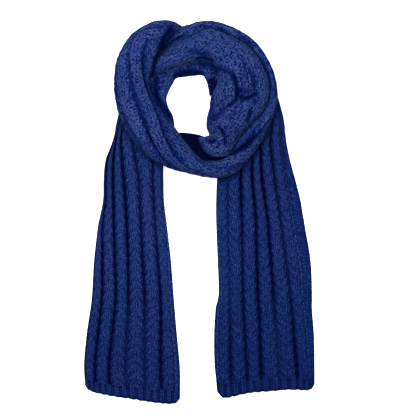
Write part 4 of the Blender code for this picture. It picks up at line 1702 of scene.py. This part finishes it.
@dataclass(frozen=True)
class RibBorder:
    """The rib border that a tail starts with."""

    depth: float = 27.0
    flat_depth: float = 0.03  # in metres
    lap: float = 1.6
    count: int = 16
    rows: int = 46
    columns_per_rib: int = 14
    wander: Grain = Grain(0.03, 5, 16, 3)
    roundness: float = 0.8
    slant: float = 0.45
    foot: float = 0.8
    valley_height: float = 2.6
    rib_rise: float = 3.4
    loop_rise: float = 0.7
    valley_light: float = 0.38
    rib_light: float = 0.42
    loop_light: float = 0.12
    start_length: float = 5.0
    start_share: float = 0.25
    hem_light: float = 0.5
    side_width: float = 6.0
    side_share: float = 0.35
    wave: float = 1.8
    wave_length: float = 9.0
    strands_per_rib: float = 3.0
    base_step: int = 8

    def build(self, tail: "Tail", ends: np.ndarray) -> None:
        """Args:
            tail: The tail that it starts.
            ends: How high each of the tail's lines reaches.
        """
        strips = len(tail.strips)
        columns = np.linspace(0.0, strips, self.columns_per_rib * self.count + 1)
        levels = tail.start + np.linspace(0.0, self.depth + self.lap, self.rows)
        plan = tail.plan(levels, columns, ends)
        share = columns / strips
        ribs = share * self.count + self.wander.over(plan.shape[:2], tail.seed)
        rib = np.abs(np.sin(math.pi * ribs)) ** self.roundness
        run = plan[..., 2] - tail.start
        aside = np.abs(2.0 * (ribs - np.floor(ribs)) - 1.0)
        loop = 0.5 + 0.5 * np.cos(2.0 * math.pi * (run / tail.knit.stitch - self.slant * aside))
        close = smooth_step(0.0, self.start_length, run)
        rise = self.valley_height + self.rib_rise * rib + self.loop_rise * loop * rib
        height = self.foot + rise * rising(self.start_share, close)
        sides = np.minimum(share, 1.0 - share)[None, :] * tail.width
        height = height * rising(self.side_share, smooth_step(0.0, self.side_width, sides))
        # Painted light on the ribs and loops and painted shade between them, at the hem's edge, over the
        # whole tail and by the hem's shade.
        light = self.valley_light + self.rib_light * rib + self.loop_light * loop * rib
        light = light * rising(self.hem_light, close) * tail.painted_light_share * (1.0 - tail.hem_shade)
        plan[..., 1] += self.wave * (1.0 - rib) * (1.0 - smooth_step(0.0, self.wave_length, run))
        outside = np.concatenate([plan[..., :2], height[..., None]], axis=2)
        base = outside[[0, -1]][:, :: self.base_step].copy()
        base[..., 2] = 0.0
        yarn = np.stack([self.strands_per_rib * ribs, run / tail.knit.stitch], axis=-1)
        piece = Wall(outside, base, light, yarn).mesh(f"{tail.side}_border_knit")
        cut = Cut(FLAT_WIDTH, self.flat_depth, "laid", ("surface",))
        cut.declare(piece, NAVY, [f"{tail.side}_border"])


@dataclass
class Tail:
    """One end of the scarf: a flat panel of cables with a plain selvedge, and a rib border at its hem."""

    side: str
    table: SmoothTable
    depths: SmoothTable
    hem: SmoothTable
    level_top: float
    opens: Opens
    left_turned: float
    right_turned: float
    # Painted shade over the whole tail and its border, stronger on the right tail.
    painted_light_share: float
    seed: int
    knit: CableKnit = TAIL_KNIT
    border: RibBorder = RibBorder()
    width: float = 200.0
    cable_count: int = 6
    cable_width: float = 34.0
    valley_height: float = 2.6
    cable_rise: float = 6.6
    valley_relief: float = 0.2
    valley_light: float = 1.15
    turned_share: float = 0.3
    turned: tuple[float, float] = (-60.0, -160.0)  # heights between which the sides turn out fully
    start_share: float = 0.72
    start_length: float = 16.0
    hem_fade: float = 130.0
    hem_power: float = 1.5
    hem_shade: float = 0.14
    shaded: tuple[float, float] = (-60.0, -340.0)  # heights between which the hem's shade sets in
    tuck: float = 9.0
    tuck_step: float = 0.5
    tuck_top: float = 40.0
    least_height: float = 0.6
    gap_above: float = 1.4
    inside_gap: float = 6.5
    ring_shade: float = 0.55
    ring_reach: tuple[float, float] = (2.0, 20.0)
    pleat_round: float = 0.75
    drift: Grain = Grain(2.5, 30, 8, 0)
    wander: Grain = Grain(0.05, 26, 12, 1)
    swell: Grain = Grain(0.15, 20, 7, 2)
    sway: Grain = Grain(0.3, 90, 40, 4)
    knots: Grain = Grain(0.34, 260, 60, 5)
    stagger: float = 3.0
    selvedge_foot: float = 1.0
    selvedge_rise: float = 4.4
    selvedge_round: float = 0.7
    selvedge_light: float = 0.85
    selvedge_fade: float = 0.22
    knot_light: float = 0.86
    selvedge_strands: float = 0.3
    selvedge_stitch: float = 3.4
    rim_place: float = 0.86
    rim_width: float = 0.15
    rim_rise: float = 3.6
    link_rise: float = 0.6
    link_light: float = 0.35
    rows: int = 430
    fan_rows: int = 90
    inside_step: int = 8
    cable_columns: int = 24
    selvedge_columns: int = 8

    @property
    def start(self) -> float:
        """Lowest point of the hem."""
        return float(self.hem.values[:, 1].min())

    @property
    def strips(self) -> list[Strip]:
        """The strips from left to right."""
        before = [Strip.SELVEDGE] if self.left_turned else []
        return before + [Strip.CABLE] * self.cable_count + [Strip.SELVEDGE]

    def lines(self, y: np.ndarray) -> np.ndarray:
        """Where the strips' edges lie.

        Args:
            y: Heights in plan, in any shape.

        Returns:
            The edges' X there, along one more axis.
        """
        lines = self.table.at(self.table.place(0, y))[..., 2:]
        turned = rising(self.turned_share, smooth_step(*self.turned, y)[..., None])
        if self.left_turned:
            inset = lines[..., :1] + self.left_turned * turned
            lines = np.concatenate([lines[..., :1], inset, lines[..., 1:]], axis=-1)
        if self.right_turned:
            inset = lines[..., -1:] - self.right_turned * turned
            lines = np.concatenate([lines[..., :-1], inset, lines[..., -1:]], axis=-1)
        return lines

    def pleat(self, y: np.ndarray) -> np.ndarray:
        """How far the cables are pushed up at given heights."""
        return np.maximum(0.0, self.table.at(self.table.place(0, y))[..., 1])

    def tuck_heights(self, outline: np.ndarray) -> np.ndarray:
        """How high each line reaches, to end just inside the ring.

        Args:
            outline: The ring's outline.

        Returns:
            The heights, one for each line.
        """
        heights = np.arange(self.level_top, NECK_CENTRE[1] + self.tuck_top, self.tuck_step)
        arms = self.lines(heights)
        dx = arms - NECK_CENTRE[0]
        dy = heights[:, None] - NECK_CENTRE[1]
        inside = np.hypot(dx, dy) < radius_at(outline, np.arctan2(dy, dx)) - self.tuck
        return np.where(inside.any(axis=0), heights[inside.argmax(axis=0)], heights[-1])

    def plan(self, levels: np.ndarray, columns: np.ndarray, ends: np.ndarray) -> np.ndarray:
        """Plan positions of rows and columns.

        Args:
            levels: Level of each row; above level_top it counts the share of the fan under the ring.
            columns: Place of each column, counted in lines.
            ends: How high each line reaches.

        Returns:
            A grid of plan positions, and of the height that each had before the hem was shaped.
        """
        first = np.minimum(columns.astype(int), len(ends) - 2)
        share = columns - first
        top = ends[first] + (ends[first + 1] - ends[first]) * share
        fan = np.maximum(0.0, levels - self.level_top)[:, None]
        y = np.minimum(levels, self.level_top)[:, None] + (top - self.level_top)[None, :] * fan
        lines = self.lines(y)
        index = np.broadcast_to(first[None, :, None], (*y.shape, 1))
        near = np.take_along_axis(lines, index, axis=2)[..., 0]
        far = np.take_along_axis(lines, index + 1, axis=2)[..., 0]
        x = near + (far - near) * share
        fade = np.maximum(0.0, 1.0 - (y - self.start) / self.hem_fade) ** self.hem_power
        hem = self.hem.at(self.hem.place(0, x))[..., 1]
        return np.stack([x, y + (hem - self.start) * fade, y], axis=-1)

    def columns(self) -> np.ndarray:
        """Places of the fine columns across.

        Returns:
            The places, counted in lines.
        """
        places = []
        for number, strip in enumerate(self.strips):
            count = self.cable_columns if strip is Strip.CABLE else self.selvedge_columns
            places.append(number + np.arange(count) / count)
        return np.concatenate([*places, [float(len(self.strips))]])

    def levels(self) -> np.ndarray:
        """Levels of the fine rows."""
        flat = np.linspace(self.start + self.border.depth, self.level_top, self.rows)
        return np.concatenate([flat, self.level_top + np.linspace(0.0, 1.0, self.fan_rows + 1)[1:]])

    def surface(self, plan: np.ndarray, columns: np.ndarray) -> TailSurface:
        """The knit over a grid of plan positions.

        Args:
            plan: Plan positions and run of each point.
            columns: Place of each column.

        Returns:
            The surface, with its height in millimetres and its painted light from 0 to 1.
        """
        shape = plan.shape[:2]
        run = plan[..., 2] + self.drift.over(shape, self.seed)
        first = np.minimum(columns.astype(int), len(self.strips) - 1)
        middle = (2.0 * (columns - first) - 1.0)[None, :]
        across = np.clip(middle + self.wander.over(shape, self.seed) * (1.0 - middle**2), -1.0, 1.0)
        chances = np.random.default_rng(SEED + self.seed)
        offsets = chances.uniform(-self.stagger, self.stagger, len(self.strips))
        along = run + offsets[first][None, :]
        sway = self.sway.over(shape, self.seed)
        knit = self.knit.surface(across, along, self.opens, first[None, :], self.cable_width, sway)
        body = 1.0 - self.valley_depth(plan[..., 2], first, across) * (1.0 - knit.body)
        above = plan[..., 2] - self.start - self.border.depth
        start = rising(self.start_share, smooth_step(0.0, self.start_length, above))
        rise = self.cable_rise * body * (1.0 + self.swell.over(shape, self.seed))
        relief = knit.relief * rising(self.valley_relief, body)
        height = self.valley_height + (rise + relief) * start
        # Painted shade in the valleys between the cables.
        light = knit.light * body**self.valley_light
        made = TailSurface(run, across, height, light, knit.strand.copy(), knit.row.copy())
        for number, strip in enumerate(self.strips):
            if strip is Strip.SELVEDGE:
                outward = 1.0 if number else -1.0
                self._dress_selvedge(made, first == number, outward)
                self._dress_rim(made, first == number - int(outward), outward)
        arch = np.abs(np.sin(math.pi * (columns - first))) ** self.pleat_round
        made.height += self.pleat(plan[..., 2]) * arch
        return made

    def valley_depth(self, y: np.ndarray, first: np.ndarray, across: np.ndarray) -> np.ndarray:
        """How deep the valley beside each point is.

        Args:
            y: Height of each point in plan.
            first: Number of each column's strip.
            across: Place across the strip, from -1 to 1.

        Returns:
            The depths, from 0 to 1.
        """
        rows = self.depths.at(self.depths.place(0, y))[..., 1:]
        full = np.ones((*y.shape, 1))
        sides = [full] * (2 if self.left_turned else 1) + [rows] + [full] * 3
        depths = np.clip(np.concatenate(sides, axis=-1), 0.0, 1.0)
        index = first[None, :] + (across > 0.0)
        return np.take_along_axis(depths, index[..., None], axis=-1)[..., 0]

    def _dress_selvedge(self, made: TailSurface, here: np.ndarray, outward: float) -> None:
        """Replaces a strip's cable by the plain selvedge, which falls away to its edge and is painted darker
        towards it.

        Args:
            made: The surface, which is changed.
            here: Which columns are in the strip.
            outward: 1 if the edge is at the right, and -1 at the left.
        """
        out = 0.5 + 0.5 * outward * made.across[:, here]
        ridges = self.knit.selvedge(made.run[:, here]) * (1.0 - 0.5 * out)
        knots = self.knots.over(made.light.shape, self.seed)[:, here]
        fall = (1.0 - out) ** self.selvedge_round
        made.height[:, here] = self.selvedge_foot + self.selvedge_rise * fall + ridges
        # Painted shade darkens it towards its edge; the knots vary its tone at random.
        made.light[:, here] = (self.selvedge_light - self.selvedge_fade * out) * (self.knot_light + knots)
        made.strand[:, here] = self.selvedge_strands * made.across[:, here]
        made.row[:, here] = made.run[:, here] / self.selvedge_stitch

    def _dress_rim(self, made: TailSurface, here: np.ndarray, outward: float) -> None:
        """Raises the chain of stitches along the outermost cable's edge and paints a highlight on it.

        Args:
            made: The surface, which is changed.
            here: Which columns are in the cable's strip.
            outward: 1 if the edge is at the right, and -1 at the left.
        """
        out = outward * made.across[:, here]
        chain = np.exp(-(((out - self.rim_place) / self.rim_width) ** 2))
        link = 0.5 + 0.5 * np.cos(math.pi * made.run[:, here] / self.knit.stitch)
        rim = self.valley_height + self.rim_rise + self.link_rise * link
        made.height[:, here] += (rim - made.height[:, here]) * chain
        # Painted highlight on the chain.
        made.light[:, here] += (1.0 + self.link_light * link - made.light[:, here]) * chain

    def build(self, outline: np.ndarray, over: Overhead) -> None:
        """Args:
            outline: The ring's outline.
            over: The cloth above.
        """
        ends = self.tuck_heights(outline)
        columns = self.columns()
        plan = self.plan(self.levels(), columns, ends)
        made = self.surface(plan, columns)
        limit = over.limit(plan[..., 0], plan[..., 1])
        height = np.maximum(self.least_height, np.minimum(made.height, limit - self.gap_above))
        # Painted shade where the tail runs in under the ring, over the whole tail, and towards the hem.
        light = made.light * rising(self.ring_shade, smooth_step(*self.ring_reach, limit))
        light = light * self.painted_light_share * (1.0 - self.hem_shade * smooth_step(*self.shaded, plan[..., 2]))
        outside = np.concatenate([plan[..., :2], height[..., None]], axis=2)
        coarse_levels = self.levels()[:: self.inside_step]
        coarse_levels[-1] = self.level_top + 1.0
        coarse_columns = np.linspace(0.0, len(self.strips), 2 * len(self.strips) + 1)
        base = self.plan(coarse_levels, coarse_columns, ends)
        arch = self.pleat(base[..., 2]) * np.abs(np.sin(math.pi * coarse_columns))[None, :]
        beneath = over.limit(base[..., 0], base[..., 1])
        base[..., 2] = np.maximum(0.0, np.minimum(arch, beneath - self.inside_gap))
        yarn = np.stack([made.strand, made.row], axis=-1)
        piece = Wall(outside, base, light, yarn).mesh(f"{self.side}_tail_knit")
        length = round(float(ends.mean() - self.start - self.border.depth) * MM, 3)
        cut = Cut(FLAT_WIDTH, length, "laid", ("surface",))
        cut.declare(piece, NAVY, [f"{self.side}_tail"])
        self.border.build(self, ends)


@dataclass
class HiddenFolds:
    """The layers that nothing shows, as one rounded ring with its edges in layers."""

    core: SmoothTable = SmoothTable(CORE)
    hole: SmoothTable = SmoothTable(HOLE + HOLE[:3])
    steps: int = 180
    across: int = 24
    layers: int = 3
    layer_points: int = 6
    hole_points: int = 200
    lip: float = 3.0
    lip_start: float = 2.4
    lip_depth: float = 1.8
    lip_round: float = 0.6
    edge_share: float = 0.6
    least_height: float = 2.0
    press_reach: float = 9.0
    gap_above: float = 1.6
    light: float = 0.5
    point_gap: float = 4.0
    middle_radius: float = 120.0

    def build(self, outline: np.ndarray, over: Overhead) -> None:
        """Args:
            outline: The ring's outline.
            over: The cloth above.
        """
        degrees = np.arange(self.steps) * 360.0 / self.steps
        angles = np.radians(degrees)
        rows = self.core.at(self.core.place(0, degrees))
        hole = self.hole.at(1.0 + np.linspace(0.0, len(HOLE), self.hole_points))
        near = radius_at(hole, angles) + rows[:, 1]
        far = radius_at(outline, angles) - rows[:, 2]
        share = np.linspace(0.0, 1.0, self.across)[None, :]
        reach = (near + self.lip)[:, None] + (far - near - 2 * self.lip)[:, None] * share
        height = rows[:, 3:4] * rising(self.edge_share, np.sin(math.pi * share))
        x = NECK_CENTRE[0] + np.cos(angles)[:, None] * reach
        y = NECK_CENTRE[1] + np.sin(angles)[:, None] * reach
        above = over.limit(x, y, self.press_reach) - self.gap_above
        height = np.maximum(self.least_height, np.minimum(height, above))
        left = self._edge(near, 1.0, angles, height[:, 0])
        right = self._edge(far, -1.0, angles, height[:, -1])[:, ::-1]
        points = np.concatenate([left, np.stack([x, y, height], axis=-1), right], axis=1)
        size = points.shape[1]
        grid = np.arange(self.steps * size).reshape(self.steps, size)
        onward = np.roll(grid, -1, axis=0)
        quads = np.stack([grid, np.roll(grid, -1, axis=1), np.roll(onward, -1, axis=1), onward], axis=-1)
        faces = quads.reshape(-1, 4).tolist()
        light = np.full(points.shape[0] * size, self.light)
        across = np.tile(np.arange(size) * self.point_gap, self.steps)
        around = np.repeat(angles * self.middle_radius, size)
        yarn = np.stack([across, around], axis=-1) / PLAIN_STITCH
        piece = make_mesh("hidden_folds_knit", points.reshape(-1, 3), faces, light, yarn)
        Cut(0.1, 0.66, "folded", ("surface",)).declare(piece, SHADED, ["hidden_folds"])

    def _edge(self, radius: np.ndarray, inward: float, angles: np.ndarray, height: np.ndarray) -> np.ndarray:
        """The side of the layers at one edge, with a rounded lip for each layer.

        Args:
            radius: How far out the edge lies in each direction.
            inward: 1 if the layers are outside the edge, and -1 if they are inside.
            angles: The directions.
            height: Height of the top layer at the edge.

        Returns:
            The side's points from the surface up, a row for each direction.
        """
        steps = np.linspace(0.0, 1.0, self.layer_points * self.layers, endpoint=False)
        lip = np.abs(np.sin(math.pi * self.layers * steps)) ** self.lip_round
        reach = radius[:, None] + inward * (self.lip_start - self.lip_depth * lip)[None, :]
        x = NECK_CENTRE[0] + np.cos(angles)[:, None] * reach
        y = NECK_CENTRE[1] + np.sin(angles)[:, None] * reach
        return np.stack([x, y, height[:, None] * steps[None, :]], axis=-1)


# ---- The studio ----


@dataclass(frozen=True)
class Studio:
    """A pale floor, soft light from above and a camera that looks straight down."""

    centre: tuple[float, float] = (0.0175, 0.00885)
    view_width: float = 0.832
    camera_height: float = 6.0
    sensor: float = 36.0
    clip_end: float = 50.0
    floor_size: float = 8.0
    floor_height: float = -0.0004
    floor_tone: float = 0.9
    floor_roughness: float = 0.9
    floor_gloss: float = 0.1
    sky: float = 1.12
    key_place: tuple[float, float, float] = (-0.28, 0.5, 1.2)
    key_size: float = 1.2
    key_power: float = 46.0
    fill_place: tuple[float, float, float] = (0.6, 0.2, 2.2)
    fill_size: float = 2.2
    fill_share: float = 0.2

    def build(self) -> None:
        """Makes the floor, the lights, the world and the camera."""
        bpy.context.scene.view_settings.view_transform = "Standard"
        self._floor()
        self._light("key", self.key_place, self.key_size, self.key_power)
        self._light("fill", self.fill_place, self.fill_size, self.fill_share * self.key_power)
        world = bpy.data.worlds.new("studio")
        world.use_nodes = True
        background = world.node_tree.nodes["Background"]
        background.inputs["Color"].default_value = (1.0, 1.0, 1.0, 1.0)
        background.inputs["Strength"].default_value = self.sky
        bpy.context.scene.world = world
        camera = bpy.data.objects.new("camera", bpy.data.cameras.new("camera"))
        camera.data.sensor_width = self.sensor
        camera.data.lens = self.sensor * self.camera_height / self.view_width
        camera.data.clip_end = self.clip_end
        camera.location = (*self.centre, self.camera_height)
        bpy.context.scene.collection.objects.link(camera)
        bpy.context.scene.camera = camera

    def _floor(self) -> None:
        """Makes the floor, just under the scarf."""
        bpy.ops.object.select_all(action="DESELECT")
        bpy.ops.mesh.primitive_plane_add(size=self.floor_size, location=(0.0, 0.0, self.floor_height))
        floor = bpy.context.active_object
        floor.name = "floor"
        paint = bpy.data.materials.new("floor_paper")
        paint.use_nodes = True
        shader = paint.node_tree.nodes["Principled BSDF"]
        tone = self.floor_tone
        shader.inputs["Base Color"].default_value = (tone, tone, tone, 1.0)
        shader.inputs["Roughness"].default_value = self.floor_roughness
        shader.inputs["Specular IOR Level"].default_value = self.floor_gloss
        floor.data.materials.append(paint)

    def _light(self, name: str, place: tuple[float, float, float], size: float, power: float) -> None:
        """Makes a square soft light that faces the scarf.

        Args:
            name: Name of the light.
            place: Where it hangs, in metres.
            size: Length of its side, in metres.
            power: Its power in watts.
        """
        lamp = bpy.data.lights.new(name, "AREA")
        lamp.size = size
        lamp.energy = power
        light = bpy.data.objects.new(name, lamp)
        light.location = place
        light.rotation_euler = (-Vector(place)).to_track_quat("-Z", "Y").to_euler()
        bpy.context.scene.collection.objects.link(light)


def main() -> None:
    """Builds the studio and every piece of the scarf."""
    logging.basicConfig(level=logging.INFO, format="%(message)s")
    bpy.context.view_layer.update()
    Studio().build()
    ring = Ring()
    above = ring.build_top()
    over = Overhead(above)
    under = ring.build_under(over)
    left = Tail(
        side="left",
        table=SmoothTable(LEFT_TAIL),
        depths=SmoothTable(LEFT_DEPTHS),
        hem=SmoothTable(LEFT_HEM),
        level_top=84.0,
        opens=Opens.BACK,
        left_turned=0.0,
        right_turned=5.5,
        painted_light_share=0.96,
        seed=21,
    )
    right = Tail(
        side="right",
        table=SmoothTable(RIGHT_TAIL),
        depths=SmoothTable(RIGHT_DEPTHS),
        hem=SmoothTable(RIGHT_HEM),
        level_top=56.0,
        opens=Opens.ALONG,
        left_turned=4.0,
        right_turned=0.0,
        painted_light_share=0.88,
        seed=41,
    )
    outline = ring.outline()
    for tail in (left, right):
        tail.build(outline, over)
    HiddenFolds().build(outline, Overhead([*above, under]))


if __name__ == "__main__":
    main()
